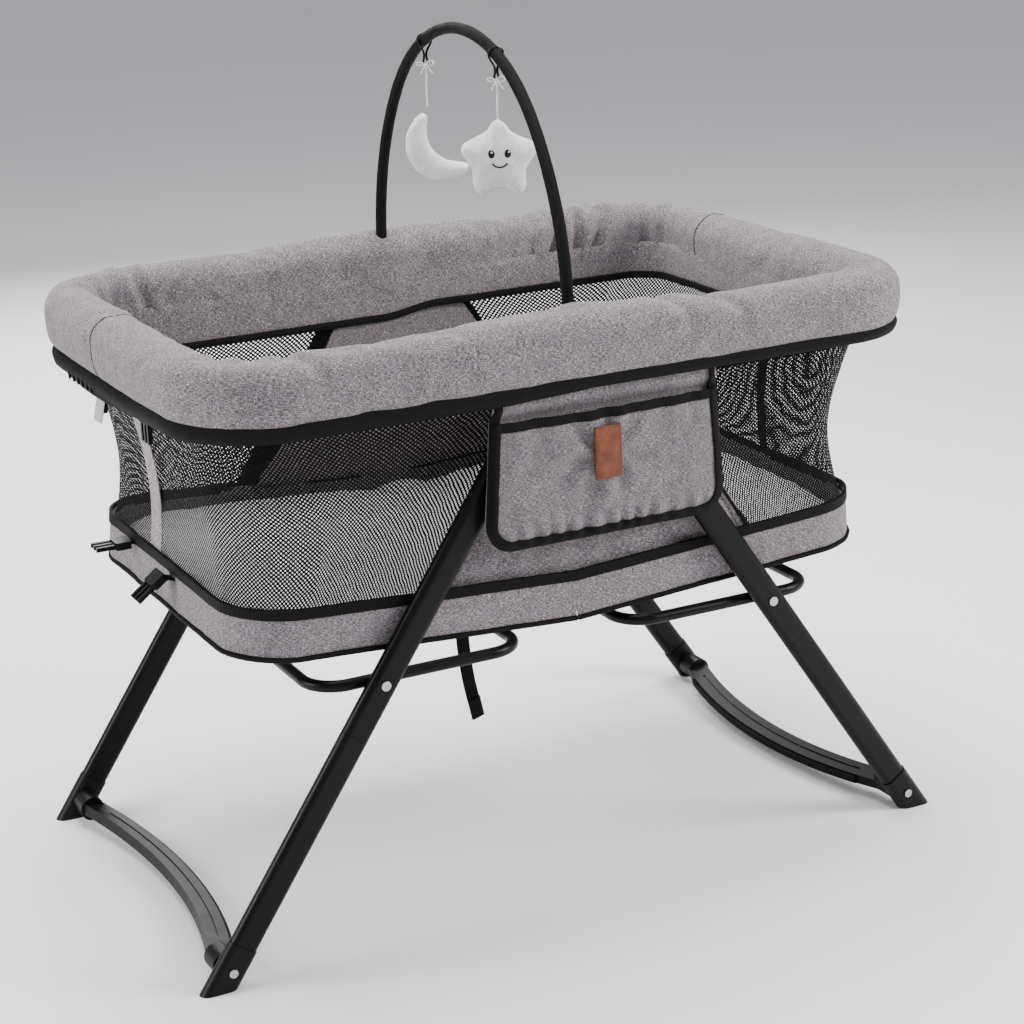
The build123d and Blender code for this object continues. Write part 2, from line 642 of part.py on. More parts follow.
band_top = base_plane.offset(BAND_HIGH + CUT)
band_top_right = Plane(
    origin=(-band_top.origin.X, 0, band_top.origin.Z), x_dir=(0, 1, 0), z_dir=(-sin(tilt), 0, cos(tilt))
)
wall_low = WALL_LEVELS[0][0] - CUT
wall_high = WALL_LEVELS[-1][0] + CUT


def panel_outline(extra):
    """The front view of the grey middle panel, wider at the bottom."""
    Polygon(
        (PANEL_LOW[0] - extra, wall_low), (PANEL_LOW[1] + extra, wall_low),
        (PANEL_TOP[1] + extra, wall_high), (PANEL_TOP[0] - extra, wall_high), align=None,
    )


for side_name, over_band, kept in (
    ("left", band_top, Keep.BOTTOM),
    ("right", band_top_right, Keep.TOP),
):
    with BuildPart() as wall:
        wall_shell()
        split(bisect_by=over_band, keep=Keep.TOP)
        with BuildSketch(Plane.XZ):
            panel_outline(PANEL_GAP)
        extrude(amount=BORE_OUT, both=True, mode=Mode.SUBTRACT)
        split(bisect_by=Plane.YZ, keep=kept)
    save(wall.part, f"wall_{side_name}")

with BuildPart() as centre_panel_near:
    wall_shell()
    split(bisect_by=Plane.XZ, keep=Keep.TOP)
    with BuildSketch(Plane.XZ):
        panel_outline(0)
    extrude(amount=BORE_OUT, mode=Mode.INTERSECT)
    split(bisect_by=band_top, keep=Keep.TOP)
    split(bisect_by=band_top_right, keep=Keep.TOP)
save(centre_panel_near.part, "centre_panel_near")
opposite(centre_panel_near.part, Plane.XZ, "centre_panel_far")

# ---------------------------------------------------------------- pocket
pocket_front = POCKET_BACK - POCKET_DEEP


def pocket_outline(inset, top):
    """Front view of the pocket: flared sides and rounded lower corners."""
    slope = POCKET_FLARE / (POCKET_TOP - POCKET_LOW)
    left, right, low = POCKET_LEFT + inset, POCKET_RIGHT - inset, POCKET_LOW + inset
    reach = (top - low) * slope
    with BuildLine() as edge:
        FilletPolyline(
            (left, top), (left - reach, low), (right + reach, low), (right, top),
            radius=POCKET_CORNER - inset,
        )
        Line((right, top), (left, top))
    make_face(edge.edges())


with BuildPart() as pocket:
    with BuildSketch(y_plane(0, POCKET_BACK, 0)):
        pocket_outline(0, POCKET_TOP)
    extrude(amount=POCKET_DEEP)
    with BuildSketch(y_plane(0, POCKET_BACK - POCKET_SHEET, 0)):
        pocket_outline(POCKET_EDGE, POCKET_TOP + CUT)
    extrude(amount=POCKET_DEEP - 2 * POCKET_SHEET, mode=Mode.SUBTRACT)
    # The front sheet stops at the mouth
    with BuildSketch(Plane((0, pocket_front, POCKET_MOUTH))):
        Rectangle(2 * BORE_OUT, 2 * (POCKET_DEEP - POCKET_SHEET))
    extrude(amount=POCKET_TOP, mode=Mode.SUBTRACT)
save(pocket.part, "pocket")

# ---------------------------------------------------------------- toy arch
spread = ARCH_SIDE_R - ARCH_Y
rise = ARCH_TOP_Z - ARCH_FOOT_Z
top_r = (ARCH_SIDE_R**2 - spread**2 - rise**2) / (2 * (ARCH_SIDE_R - rise))
# Turn of the side arcs, from level to where the top arc takes over
side_turn = atan2(rise - top_r, spread)


def arch_path(low):
    """Half the arch on the near side, from its foot to the top."""
    def side_point(turn):
        return spread - ARCH_SIDE_R * cos(turn), ARCH_FOOT_Z + ARCH_SIDE_R * sin(turn)

    def top_point(turn):
        return -top_r * cos(turn), ARCH_TOP_Z - top_r + top_r * sin(turn)

    half = (side_turn + radians(90)) / 2
    with BuildLine(Plane(origin=(0, 0, 0), x_dir=(0, 1, 0), z_dir=(1, 0, 0))) as line:
        Line((-ARCH_Y, low), side_point(0))
        ThreePointArc(side_point(0), side_point(side_turn / 2), side_point(side_turn))
        ThreePointArc(side_point(side_turn), top_point(half), (0, ARCH_TOP_Z))
    return line.line


def arch_bar(low, outer, inner):
    """The near half of a round bar that follows the arch, mirrored to the far side."""
    path = arch_path(low)
    for radius, mode in ((outer / 2, Mode.ADD), (inner / 2, Mode.SUBTRACT)):
        if radius:
            with BuildSketch(Plane((0, -ARCH_Y, low))) as section:
                Circle(radius)
            sweep(section.sketch, path=path, mode=mode)
    mirror(about=Plane.XZ)


with BuildPart() as arch_rod:
    arch_bar(SOCKET_LOW + SOCKET_FLOOR + CUT, ARCH_ROD, 0)
save(arch_rod.part, "arch_rod")

with BuildPart() as arch_sleeve:
    arch_bar(SLEEVE_LOW, ARCH_SLEEVE, ARCH_ROD + SLEEVE_GAP)
save(arch_sleeve.part, "arch_sleeve")

# ---------------------------------------------------------------- toys
toy_turn = radians(TOY_TURN)
toy_across = Vector(cos(toy_turn), sin(toy_turn), 0)
toy_front = Vector(sin(toy_turn), -cos(toy_turn), 0)


def toy_plane(y, z):
    """A plane that faces the corner of the cot, its local axes across the toy and up."""
    return Plane(origin=(0, y, z), x_dir=toy_across, z_dir=toy_front)


toy_strings = ((TOY_Y, MOON_TOP, "moon_string"), (-TOY_Y, STAR_TOP, "star_string"))
for string_y, string_low, string_name in toy_strings:
    with BuildPart() as toy_string:
        with BuildSketch(Plane((0, string_y, string_low))):
            Circle(STRING / 2)
        extrude(amount=STRING_TOP - string_low)
    save(toy_string.part, string_name)

with BuildPart() as moon:
    with BuildSketch(toy_plane(TOY_Y, MOON_TOP)) as moon_face:
        with Locations(MOON_CENTRE):
            Circle(MOON_R)
        with Locations((MOON_CENTRE[0] + MOON_BITE[0], MOON_CENTRE[1] + MOON_BITE[1])):
            Circle(MOON_BITE_R, mode=Mode.SUBTRACT)
        fillet(moon_face.vertices(), MOON_TIP)
    extrude(amount=MOON_THICK / 2, both=True)
    chamfer(moon.faces().filter_by(GeomType.PLANE).edges(), MOON_BEVEL)
save(moon.part, "moon")

with BuildPart() as star:
    with BuildSketch(toy_plane(-TOY_Y, STAR_TOP - STAR_DROP)) as star_face:
        corners = []
        for corner in range(2 * STAR_TIPS):
            radius = STAR_INNER_R if corner % 2 else STAR_R
            turn = radians(90 + corner * 180 / STAR_TIPS)
            corners.append((radius * cos(turn), radius * sin(turn)))
        Polygon(*corners, align=None)
        fillet(star_face.vertices(), STAR_TIP)
    extrude(amount=STAR_THICK / 2, both=True)
    chamfer(star.faces().filter_by(Axis(origin=(0, 0, 0), direction=toy_front)).edges(), STAR_BEVEL)
save(star.part, "star")

# ---------------------------------------------------------------- buckles
def buckle(at, out):
    """One side-release buckle plug lying in a plane that faces out, its arms pointing away."""
    plane = Plane(origin=at, x_dir=(0, 1, 0), z_dir=out)
    with BuildSketch(plane) as body:
        RectangleRounded(BUCKLE_WIDE, BUCKLE_BODY, BUCKLE_ROUND)
    extrude(body.sketch, amount=BUCKLE_THICK)
    with BuildSketch(plane.offset(BUCKLE_STEP)) as arms:
        for arm in (-1, 0, 1):
            with Locations((arm * (BUCKLE_WIDE / 2 - PRONG_INSET), BUCKLE_BODY)):
                RectangleRounded(PRONG_WIDE, PRONG_LONG, PRONG_ROUND)
    extrude(arms.sketch, amount=BUCKLE_THICK - 2 * BUCKLE_STEP)


with BuildPart() as upper_buckles:
    for spot, out in UPPER_BUCKLES:
        buckle(spot, out)
save(upper_buckles.part, "upper_buckles")
with BuildPart() as lower_buckles:
    for spot, out in LOWER_BUCKLES:
        buckle(spot, out)
save(lower_buckles.part, "lower_buckles")
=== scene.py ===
"""The bassinet on its folding rocker stand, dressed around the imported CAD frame. Metres, +Z up."""
import bmesh
import bpy
import json
import numpy as np
from math import atan2, cos, pi, radians, sin, sqrt
from mathutils import Matrix, Vector, noise


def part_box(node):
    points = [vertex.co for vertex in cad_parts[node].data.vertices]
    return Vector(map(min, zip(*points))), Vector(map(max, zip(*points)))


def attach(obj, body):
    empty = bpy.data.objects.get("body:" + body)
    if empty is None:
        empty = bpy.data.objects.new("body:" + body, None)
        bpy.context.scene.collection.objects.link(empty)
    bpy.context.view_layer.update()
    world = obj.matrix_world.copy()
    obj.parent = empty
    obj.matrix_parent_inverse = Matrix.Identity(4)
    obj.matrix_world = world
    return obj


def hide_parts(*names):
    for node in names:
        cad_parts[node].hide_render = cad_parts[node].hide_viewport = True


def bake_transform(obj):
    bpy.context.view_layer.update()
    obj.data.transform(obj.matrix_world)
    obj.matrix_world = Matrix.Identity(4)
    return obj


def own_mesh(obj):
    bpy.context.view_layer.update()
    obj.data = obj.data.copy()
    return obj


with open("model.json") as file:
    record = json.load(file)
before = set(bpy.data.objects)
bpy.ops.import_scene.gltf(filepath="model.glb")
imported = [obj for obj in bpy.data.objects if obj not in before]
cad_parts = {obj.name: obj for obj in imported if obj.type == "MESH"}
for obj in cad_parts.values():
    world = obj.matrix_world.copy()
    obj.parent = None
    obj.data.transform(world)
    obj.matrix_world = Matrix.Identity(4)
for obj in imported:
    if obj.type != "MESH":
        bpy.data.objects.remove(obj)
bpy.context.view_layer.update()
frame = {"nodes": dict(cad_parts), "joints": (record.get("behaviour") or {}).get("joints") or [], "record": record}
SIDES = (("left", -1), ("right", 1))
MM = 0.001


# ------------------------------------------------------------------ places taken from the frame
def middle(node):
    """The centre of a node's box."""
    low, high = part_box(node)
    return (np.array(low) + np.array(high)) / 2


pad_low, pad_high = (np.array(c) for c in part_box("rim_pad_left"))
wall_high = np.array(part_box("wall_left")[1])
band_high = np.array(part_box("base_band_left")[1])
pocket_low, pocket_high = (np.array(c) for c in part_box("pocket"))
slat_high = np.array(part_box("centre_slat")[1])
PIVOT = next(j for j in frame["joints"] if j["name"] == "rim_fold_left")["pos_m"]
PIVOT_X, RIM_Z = abs(PIVOT[0]), PIVOT[2]
HINGE = next(j for j in frame["joints"] if j["name"] == "base_fold_left")["pos_m"]
HINGE_X, HINGE_Z = abs(HINGE[0]), HINGE[2]

ROLL_WIDE = 64 * MM
ROLL_TALL = pad_high[2] - pad_low[2]
ROLL_X = -pad_low[0] - ROLL_WIDE / 2
ROLL_Y = pad_high[1] - ROLL_WIDE / 2
ROLL_CORNER = 80 * MM
BAND_TILT = radians(3.3)
BAND_X = 0.400
BAND_Y = band_high[1]
BAND_CORNER = 74 * MM
BAND_UNDER = -9 * MM
BAND_OVER = 49 * MM
# Half length, half width and corner radius of the wall at five heights
WALL_Z = np.array([384, 440, 500, 560, 604]) * MM
WALL_SHAPE = np.array([[398, 244, 74], [390, 236, 88], [391, 234, 96], [401, 239, 88], [412, 245, 78]]) * MM
WALL_FIT = [np.polyfit(WALL_Z, WALL_SHAPE[:, k], 4) for k in range(3)]
WALL_TOP = wall_high[2]
# How far the grey middle panel reaches left and right of the middle, at its top and bottom
PANEL_TOP = np.array([56, 100]) * MM
PANEL_LOW = np.array([192, 236]) * MM


def wall_at(z):
    """Half length, half width and corner radius of the wall at height z."""
    return [float(np.polyval(f, z)) for f in WALL_FIT]


def panel_edge(z, end):
    """The grey middle panel's reach at height z, to the left (end 0) or to the right (end 1)."""
    t = (WALL_TOP - z) / (WALL_TOP - WALL_Z[0])
    return PANEL_TOP[end] + (PANEL_LOW[end] - PANEL_TOP[end]) * t


def base_point(along, across, over):
    """A point on the base's left half: along it from the hinge, across the cot, and over the hinge."""
    x = -HINGE_X - along * cos(BAND_TILT) + over * sin(BAND_TILT)
    z = HINGE_Z + along * sin(BAND_TILT) + over * cos(BAND_TILT)
    return np.array([x, across, z])


def band_top_z(x):
    """Height of the band's top edge above a place along the cot."""
    return base_point(max(abs(x) - HINGE_X, -HINGE_X), 0, BAND_OVER)[2]


# ------------------------------------------------------------------ materials
class Paint:
    """Builds one material's node tree, with short names for the nodes it uses."""

    def __init__(self, name, roughness=0.7, metallic=0.0, sheen=0.0, specular=0.5):
        self.material = bpy.data.materials.new(name)
        self.material.use_nodes = True
        self.tree = self.material.node_tree
        self.tree.nodes.clear()
        self.out = self.tree.nodes.new("ShaderNodeOutputMaterial")
        self.shader = self.tree.nodes.new("ShaderNodeBsdfPrincipled")
        self.link(self.shader.outputs[0], self.out.inputs["Surface"])
        self.set("Roughness", roughness)
        self.set("Metallic", metallic)
        self.set("Specular IOR Level", specular)
        if sheen:
            self.set("Sheen Weight", sheen)
            self.set("Sheen Roughness", 0.45)

    def set(self, socket, value):
        self.shader.inputs[socket].default_value = value

    def link(self, a, b):
        self.tree.links.new(a, b)

    def feed(self, socket, value):
        self.link(value, self.shader.inputs[socket])

    def node(self, kind, **inputs):
        n = self.tree.nodes.new(kind)
        for key, value in inputs.items():
            socket = n.inputs[key.replace("_", " ")]
            if isinstance(value, bpy.types.NodeSocket):
                self.link(value, socket)
            else:
                socket.default_value = value
        return n

    def coords(self, kind="UV", scale=(1, 1, 1), turn=0.0):
        c = self.tree.nodes.new("ShaderNodeTexCoord")
        m = self.node("ShaderNodeMapping", Scale=scale, Rotation=(0, 0, turn), Vector=c.outputs[kind])
        return m.outputs[0]

    def noise(self, vector, scale, detail=2.0, rough=0.5, distort=0.0):
        n = self.node("ShaderNodeTexNoise", Vector=vector, Scale=scale, Detail=detail, Roughness=rough,
                      Distortion=distort)
        return n.outputs["Fac"]

    def math(self, operation, a, b=0.0, c=0.0, clamp=False):
        n = self.tree.nodes.new("ShaderNodeMath")
        n.operation, n.use_clamp = operation, clamp
        for i, v in enumerate((a, b, c)):
            if isinstance(v, bpy.types.NodeSocket):
                self.link(v, n.inputs[i])
            else:
                n.inputs[i].default_value = v
        return n.outputs[0]

    def ramp(self, fac, *stops):
        n = self.tree.nodes.new("ShaderNodeValToRGB")
        while len(n.color_ramp.elements) < len(stops):
            n.color_ramp.elements.new(0.5)
        for e, (at, color) in zip(n.color_ramp.elements, stops):
            e.position = at
            e.color = (*color, 1) if len(color) == 3 else color
        self.link(fac, n.inputs[0])
        return n.outputs[0]

    def mix(self, fac, a, b):
        n = self.tree.nodes.new("ShaderNodeMix")
        n.data_type = "RGBA"
        for i, v in ((0, fac), (6, a), (7, b)):
            if isinstance(v, bpy.types.NodeSocket):
                self.link(v, n.inputs[i])
            else:
                n.inputs[i].default_value = v if i == 0 else (*v, 1)
        return n.outputs[2]

    def bump(self, height, distance, strength=1.0, under=None):
        n = self.node("ShaderNodeBump", Height=height, Distance=distance, Strength=strength)
        if under is not None:
            self.link(under, n.inputs["Normal"])
        return n.outputs[0]

    def split(self, vector):
        n = self.node("ShaderNodeSeparateXYZ", Vector=vector)
        return n.outputs[0], n.outputs[1]


def weave(p, pitch, coords="UV"):
    """Height of a plain weave with that yarn pitch, from 0 to 1."""
    u, v = p.split(p.coords(coords))
    waves = [p.math("SINE", p.math("MULTIPLY", w, 2 * pi / pitch)) for w in (u, v)]
    over = p.math("MULTIPLY", waves[0], waves[1])
    return p.math("MULTIPLY_ADD", over, 0.5, 0.5)


def melange(name, shade=1.0, coords="UV", mottle_and_painted_shade=0.4):
    """Heather-grey woven cloth: flecked yarns running both ways, a fine weave and soft patches."""
    p = Paint(name, roughness=0.92, sheen=0.12, specular=0.2)
    weft = p.noise(p.coords(coords, (1 / 3.6e-3, 1 / 0.8e-3, 1 / 2e-3)), 1.0, 3.0, 0.7)
    warp = p.noise(p.coords(coords, (1 / 0.8e-3, 1 / 3.6e-3, 1 / 2e-3)), 1.0, 3.0, 0.7)
    fleck = p.math("ADD", p.math("MULTIPLY", weft, 0.6), p.math("MULTIPLY", warp, 0.4))
    patch = p.noise(p.coords(coords), 75.0, 3.0, 0.6)
    fleck = p.math("ADD", fleck, p.math("MULTIPLY", p.math("SUBTRACT", patch, 0.5), 0.08))
    stops = ((0.40, (0.032, 0.032, 0.032)), (0.47, (0.125, 0.105, 0.116)), (0.53, (0.255, 0.222, 0.241)),
             (0.61, (0.66, 0.60, 0.63)))
    tone = p.ramp(fleck, *[(at, [c * shade for c in color]) for at, color in stops])
    # Soft darker patches mixed into the cloth: its own tone drift, and at the pocket's stronger setting also
    # painted shade standing for the shadows of its wrinkles
    wide = p.noise(p.coords(coords), 22.0, 2.0, 0.6)
    tone = p.mix(p.math("MULTIPLY", wide, mottle_and_painted_shade), tone, (0.12 * shade, 0.108 * shade, 0.115 * shade))
    p.feed("Base Color", tone)
    fine = p.bump(weave(p, 1.3e-3, coords), 0.0003, 0.7)
    p.feed("Normal", p.bump(fleck, 0.0006, 0.8, fine))
    return p.material


def black_cloth(name, ribs, color=(0.0042, 0.0040, 0.0043)):
    """Black tape or webbing with ribs of that pitch."""
    p = Paint(name, roughness=0.7, specular=0.09)
    u, _ = p.split(p.coords())
    rib = p.math("SINE", p.math("MULTIPLY", u, 2 * pi / ribs))
    yarn = p.noise(p.coords(scale=(1 / 0.8e-3, 1 / 0.8e-3, 1)), 1.0, 2.0)
    low, high = [c * 0.6 for c in color], [c * 2.3 for c in color]
    p.feed("Base Color", p.ramp(yarn, (0.3, low), (0.7, high)))
    p.feed("Roughness", p.math("MULTIPLY_ADD", yarn, 0.2, 0.58))
    p.feed("Normal", p.bump(yarn, 0.0003, 0.5, p.bump(rib, 0.00025, 0.8)))
    return p.material


def mesh_cloth(name, pitch, hole, color):
    """Black net with staggered lozenge holes that really let the view through."""
    p = Paint(name, roughness=0.8, specular=0.05)
    u, v = p.split(p.coords())
    wobble = p.math("MULTIPLY", p.math("SUBTRACT", p.noise(p.coords(), 60.0, 1.0), 0.5), 0.5)
    u = p.math("ADD", p.math("DIVIDE", u, pitch), wobble)
    v = p.math("ADD", p.math("DIVIDE", v, pitch), wobble)
    cells = []
    for kind in ("ADD", "SUBTRACT"):
        c = p.math("FRACT", p.math(kind, u, v))
        cells.append(p.math("ABSOLUTE", p.math("SUBTRACT", c, 0.5)))
    corner = p.math("MAXIMUM", cells[0], cells[1])
    soft = p.math("SQRT", p.math("ADD", p.math("POWER", cells[0], 2.0), p.math("POWER", cells[1], 2.0)))
    reach = p.math("ADD", p.math("MULTIPLY", corner, 0.55), p.math("MULTIPLY", soft, 0.40))
    alpha = p.math("MULTIPLY_ADD", p.math("SUBTRACT", reach, hole), 22.0, 0.5, clamp=True)
    yarn = p.noise(p.coords(scale=(1 / 0.7e-3, 1 / 0.7e-3, 1)), 1.0, 2.0)
    p.feed("Base Color", p.ramp(yarn, (0.3, [c * 0.7 for c in color]), (0.75, [c * 1.9 for c in color])))
    p.feed("Alpha", alpha)
    p.feed("Normal", p.bump(corner, 0.0006, 0.8))
    return p.material


def coated_metal():
    """Satin black powder coat: fine orange peel and slight dulling."""
    p = Paint("powder_coat", roughness=0.4, specular=0.15)
    peel = p.noise(p.coords("Object"), 900.0, 2.0)
    dull = p.noise(p.coords("Object"), 14.0, 4.0, 0.6)
    p.feed("Base Color", p.ramp(dull, (0.3, (0.0015, 0.0014, 0.0016)), (0.75, (0.004, 0.0037, 0.004))))
    p.feed("Roughness", p.math("MULTIPLY_ADD", dull, 0.2, 0.27))
    p.feed("Normal", p.bump(peel, 0.00008, 0.5))
    return p.material


def moulded(name, color, rough=0.48, grain=1400.0, depth=0.00008, specular=0.25):
    """Moulded plastic or rubber with a fine grain and faint flow marks."""
    p = Paint(name, roughness=rough, specular=specular)
    marks = p.noise(p.coords("Object"), 40.0, 3.0, 0.6, 0.6)
    p.feed("Base Color", p.ramp(marks, (0.3, [c * 0.75 for c in color]), (0.75, [c * 1.45 for c in color])))
    p.feed("Roughness", p.math("MULTIPLY_ADD", marks, 0.16, rough - 0.08))
    p.feed("Normal", p.bump(p.noise(p.coords("Object"), grain, 2.0), depth, 0.8))
    return p.material


def plated():
    """Bright zinc plate with brushed streaks."""
    p = Paint("zinc_plate", roughness=0.3, metallic=1.0)
    streak = p.noise(p.coords("Object", (400, 30, 400)), 1.0, 3.0)
    p.feed("Base Color", p.ramp(streak, (0.3, (0.30, 0.30, 0.31)), (0.7, (0.52, 0.52, 0.54))))
    p.feed("Roughness", p.math("MULTIPLY_ADD", streak, 0.25, 0.18))
    p.feed("Normal", p.bump(streak, 0.00003, 0.6))
    return p.material


def plush():
    """Short white pile."""
    p = Paint("plush", roughness=0.95, sheen=0.7, specular=0.15)
    pile = p.noise(p.coords("Object"), 1100.0, 3.0, 0.7)
    tuft = p.noise(p.coords("Object"), 170.0, 3.0, 0.6)
    p.feed("Base Color", p.ramp(tuft, (0.25, (0.70, 0.68, 0.675)), (0.7, (0.87, 0.855, 0.85))))
    p.feed("Normal", p.bump(pile, 0.0006, 0.6, p.bump(tuft, 0.0012, 0.5)))
    return p.material


def leather():
    """Tan label leather with pores and a varied tone."""
    p = Paint("label_leather", roughness=0.5, specular=0.4)
    pores = p.node("ShaderNodeTexVoronoi", Vector=p.coords("Object"), Scale=1100.0).outputs["Distance"]
    tone = p.noise(p.coords("Object"), 90.0, 4.0, 0.65)
    p.feed("Base Color", p.ramp(tone, (0.25, (0.085, 0.020, 0.006)), (0.55, (0.165, 0.040, 0.011)),
                                (0.8, (0.25, 0.070, 0.021))))
    p.feed("Roughness", p.math("MULTIPLY_ADD", tone, 0.3, 0.35))
    p.feed("Normal", p.bump(pores, 0.00025, 0.6))
    return p.material


def sheet_cotton(name, color, quilt=0.0):
    """Plain soft cloth, quilted in lozenges when quilt gives their pitch."""
    p = Paint(name, roughness=0.9, sheen=0.3, specular=0.25)
    yarn = p.noise(p.coords(scale=(1 / 1.2e-3, 1 / 1.2e-3, 1)), 1.0, 2.0)
    low, high = [c * 0.88 for c in color], [min(1, c * 1.05) for c in color]
    p.feed("Base Color", p.ramp(yarn, (0.3, low), (0.7, high)))
    fine = p.bump(weave(p, 0.9e-3), 0.0002, 0.6)
    if quilt:
        u, v = p.split(p.coords(turn=pi / 4))
        ridges = [p.math("ABSOLUTE", p.math("SINE", p.math("MULTIPLY", w, pi / quilt))) for w in (u, v)]
        puff = p.math("POWER", p.math("MULTIPLY", ridges[0], ridges[1]), 0.35)
        fine = p.bump(puff, 0.004, 0.9, fine)
    p.feed("Normal", fine)
    return p.material


M = {
    "grey": melange("melange_cloth"),
    "grey_panel": melange("melange_panel", 0.93),
    "grey_pale": melange("melange_tape", 1.5),
    # The pocket's stronger dark patches are painted shade for the shadows of its wrinkles, over the cloth's own
    # tone drift
    "grey_pocket_painted_shade": melange("melange_pocket_painted_shade", 0.95, mottle_and_painted_shade=0.75),
    "band": black_cloth("binding_tape", 1.6e-3),
    "web": black_cloth("webbing_tape", 2.2e-3, (0.0032, 0.0031, 0.0032)),
    "sleeve": black_cloth("sleeve_cloth", 1.1e-3, (0.0055, 0.0052, 0.0058)),
    "net": mesh_cloth("net_cloth", 4.9e-3, 0.238, (0.0042, 0.0040, 0.0042)),
    "metal": coated_metal(),
    "plastic": moulded("black_plastic", (0.003, 0.003, 0.0033), 0.42, specular=0.15),
    "rubber": moulded("rubber", (0.005, 0.005, 0.005), 0.75, 700.0, 0.0002, 0.1),
    "blue": moulded("blue_plastic", (0.015, 0.045, 0.24), 0.35, specular=0.45),
    "zinc": plated(),
    "plush": plush(),
    "string": sheet_cotton("string_cotton", (0.80, 0.79, 0.78)),
    "thread": black_cloth("thread", 0.6e-3, (0.012, 0.012, 0.012)),
    "stitch": sheet_cotton("label_stitch", (0.10, 0.035, 0.018)),
    "leather": leather(),
    "mattress": sheet_cotton("mattress_cloth", (0.80, 0.80, 0.79), 0.045),
    "board": melange("board_cloth", 0.55, "Object"),
    "tag": sheet_cotton("tag_tape", (0.42, 0.41, 0.43)),
}
SLOTS = {
    "grey": "grey_fabric", "grey_panel": "grey_fabric", "grey_pale": "grey_fabric",
    "grey_pocket_painted_shade": "grey_fabric", "band": "webbing", "web": "webbing", "sleeve": "black_fabric",
    "net": "mesh", "metal": "black_metal", "plastic": "black_plastic", "rubber": "rubber",
    "blue": "blue_plastic", "zinc": "zinc", "plush": "plush_white", "string": "string_white",
    "thread": "thread_black", "stitch": "leather", "leather": "leather", "mattress": "mattress_fabric",
    "board": "board", "tag": "tag_grey",
}
CLOTH_ONLY = ("grey_panel", "grey_pale", "grey_pocket_painted_shade", "web", "stitch")
for node, ob in frame["nodes"].items():
    kind = {s: m for m, s in SLOTS.items() if m not in CLOTH_ONLY}
    slot_name = next(s["material_slot"] for s in frame["record"]["subparts"] if s["node"] == node)
    ob.data.materials.clear()
    ob.data.materials.append(M[kind.get(slot_name, "metal")])


# ------------------------------------------------------------------ mesh tools
def make(name, verts, faces, paint, uv=None):
    """A mesh piece with its material and slot. uv holds one pair for each vertex, in metres."""
    mesh = bpy.data.meshes.new(name)
    mesh.from_pydata([tuple(map(float, v)) for v in verts], [], [tuple(f) for f in faces])
    mesh.materials.append(M[paint])
    if uv is not None:
        layer = mesh.uv_layers.new(name="cloth")
        index = np.zeros(len(mesh.loops), np.int32)
        mesh.loops.foreach_get("vertex_index", index)
        layer.data.foreach_set("uv", np.asarray(uv, np.float32)[index].ravel())
    mesh.polygons.foreach_set("use_smooth", [True] * len(mesh.polygons))
    piece = bpy.data.objects.new(name, mesh)
    bpy.context.scene.collection.objects.link(piece)
    return piece


def grid(name, points, paint, closed=False, caps=False, flip=False):
    """A piece from rows of points. closed joins the last column to the first, and caps fills the two ends."""
    points = np.asarray(points, float)
    rows, cols = points.shape[:2]
    ring = np.concatenate([points, points[:, :1]], axis=1) if closed else points
    across = np.linalg.norm(np.diff(ring, axis=1), axis=2)
    down = np.linalg.norm(np.diff(points, axis=0), axis=2)
    v = np.concatenate([np.zeros((1,)), np.cumsum(across.mean(axis=0))])
    u = np.concatenate([np.zeros((1,)), np.cumsum(down.mean(axis=1))])
    count = cols + 1 if closed else cols
    verts = points.reshape(-1, 3)
    corner_uv, faces = [], []
    for i in range(rows - 1):
        for j in range(count - 1):
            k = (j + 1) % cols
            face = (i * cols + j, i * cols + k, (i + 1) * cols + k, (i + 1) * cols + j)
            cell = ((u[i], v[j]), (u[i], v[j + 1]), (u[i + 1], v[j + 1]), (u[i + 1], v[j]))
            if flip:
                face, cell = face[::-1], cell[::-1]
            faces.append(face)
            corner_uv.extend(cell)
    if caps:
        for i, turn in ((0, 1), (rows - 1, -1)):
            face = [i * cols + j for j in range(cols)][:: turn * (1 if flip else -1)]
            faces.append(face)
            corner_uv.extend([(u[i] + 0.001 * cos(n), v[0] + 0.001 * sin(n)) for n in range(cols)])
    piece = make(name, verts, faces, paint)
    layer = piece.data.uv_layers.new(name="cloth")
    layer.data.foreach_set("uv", np.asarray(corner_uv, np.float32).ravel())
    return piece


def directions(path):
    """Unit directions along a path of points."""
    d = np.gradient(np.asarray(path, float), axis=0)
    return d / np.maximum(np.linalg.norm(d, axis=1, keepdims=True), 1e-12)


def sweep(name, path, normal, profile, paint):
    """A profile of (across, out) points carried along a path, out being along normal at each point."""
    path = np.asarray(path, float)
    along = directions(path)
    out = np.broadcast_to(np.asarray(normal, float), path.shape)
    out = out - (out * along).sum(axis=1, keepdims=True) * along
    out = out / np.linalg.norm(out, axis=1, keepdims=True)
    across = np.cross(along, out)
    rows = [[p + a * s + o * t for s, t in profile] for p, a, o in zip(path, across, out)]
    return grid(name, rows, paint, closed=True, caps=True)


def tape_profile(wide, thick):
    """The rounded cross-section of a flat tape."""
    w, t = wide / 2, thick / 2
    r = min(t, w) * 0.9
    points = []
    corners = ((w - r, t - r, 0), (-w + r, t - r, 90), (-w + r, -t + r, 180), (w - r, -t + r, 270))
    for cx, cy, start in corners:
        for step in (0, 45, 90):
            a = radians(start + step)
            points.append((cx + r * cos(a), cy + r * sin(a)))
    return points


def round_profile(radius, count=12):
    return [(radius * cos(2 * pi * k / count), radius * sin(2 * pi * k / count)) for k in range(count)]


def tape(name, path, normal, wide, thick, paint="band"):
    return sweep(name, path, normal, tape_profile(wide, thick), paint)


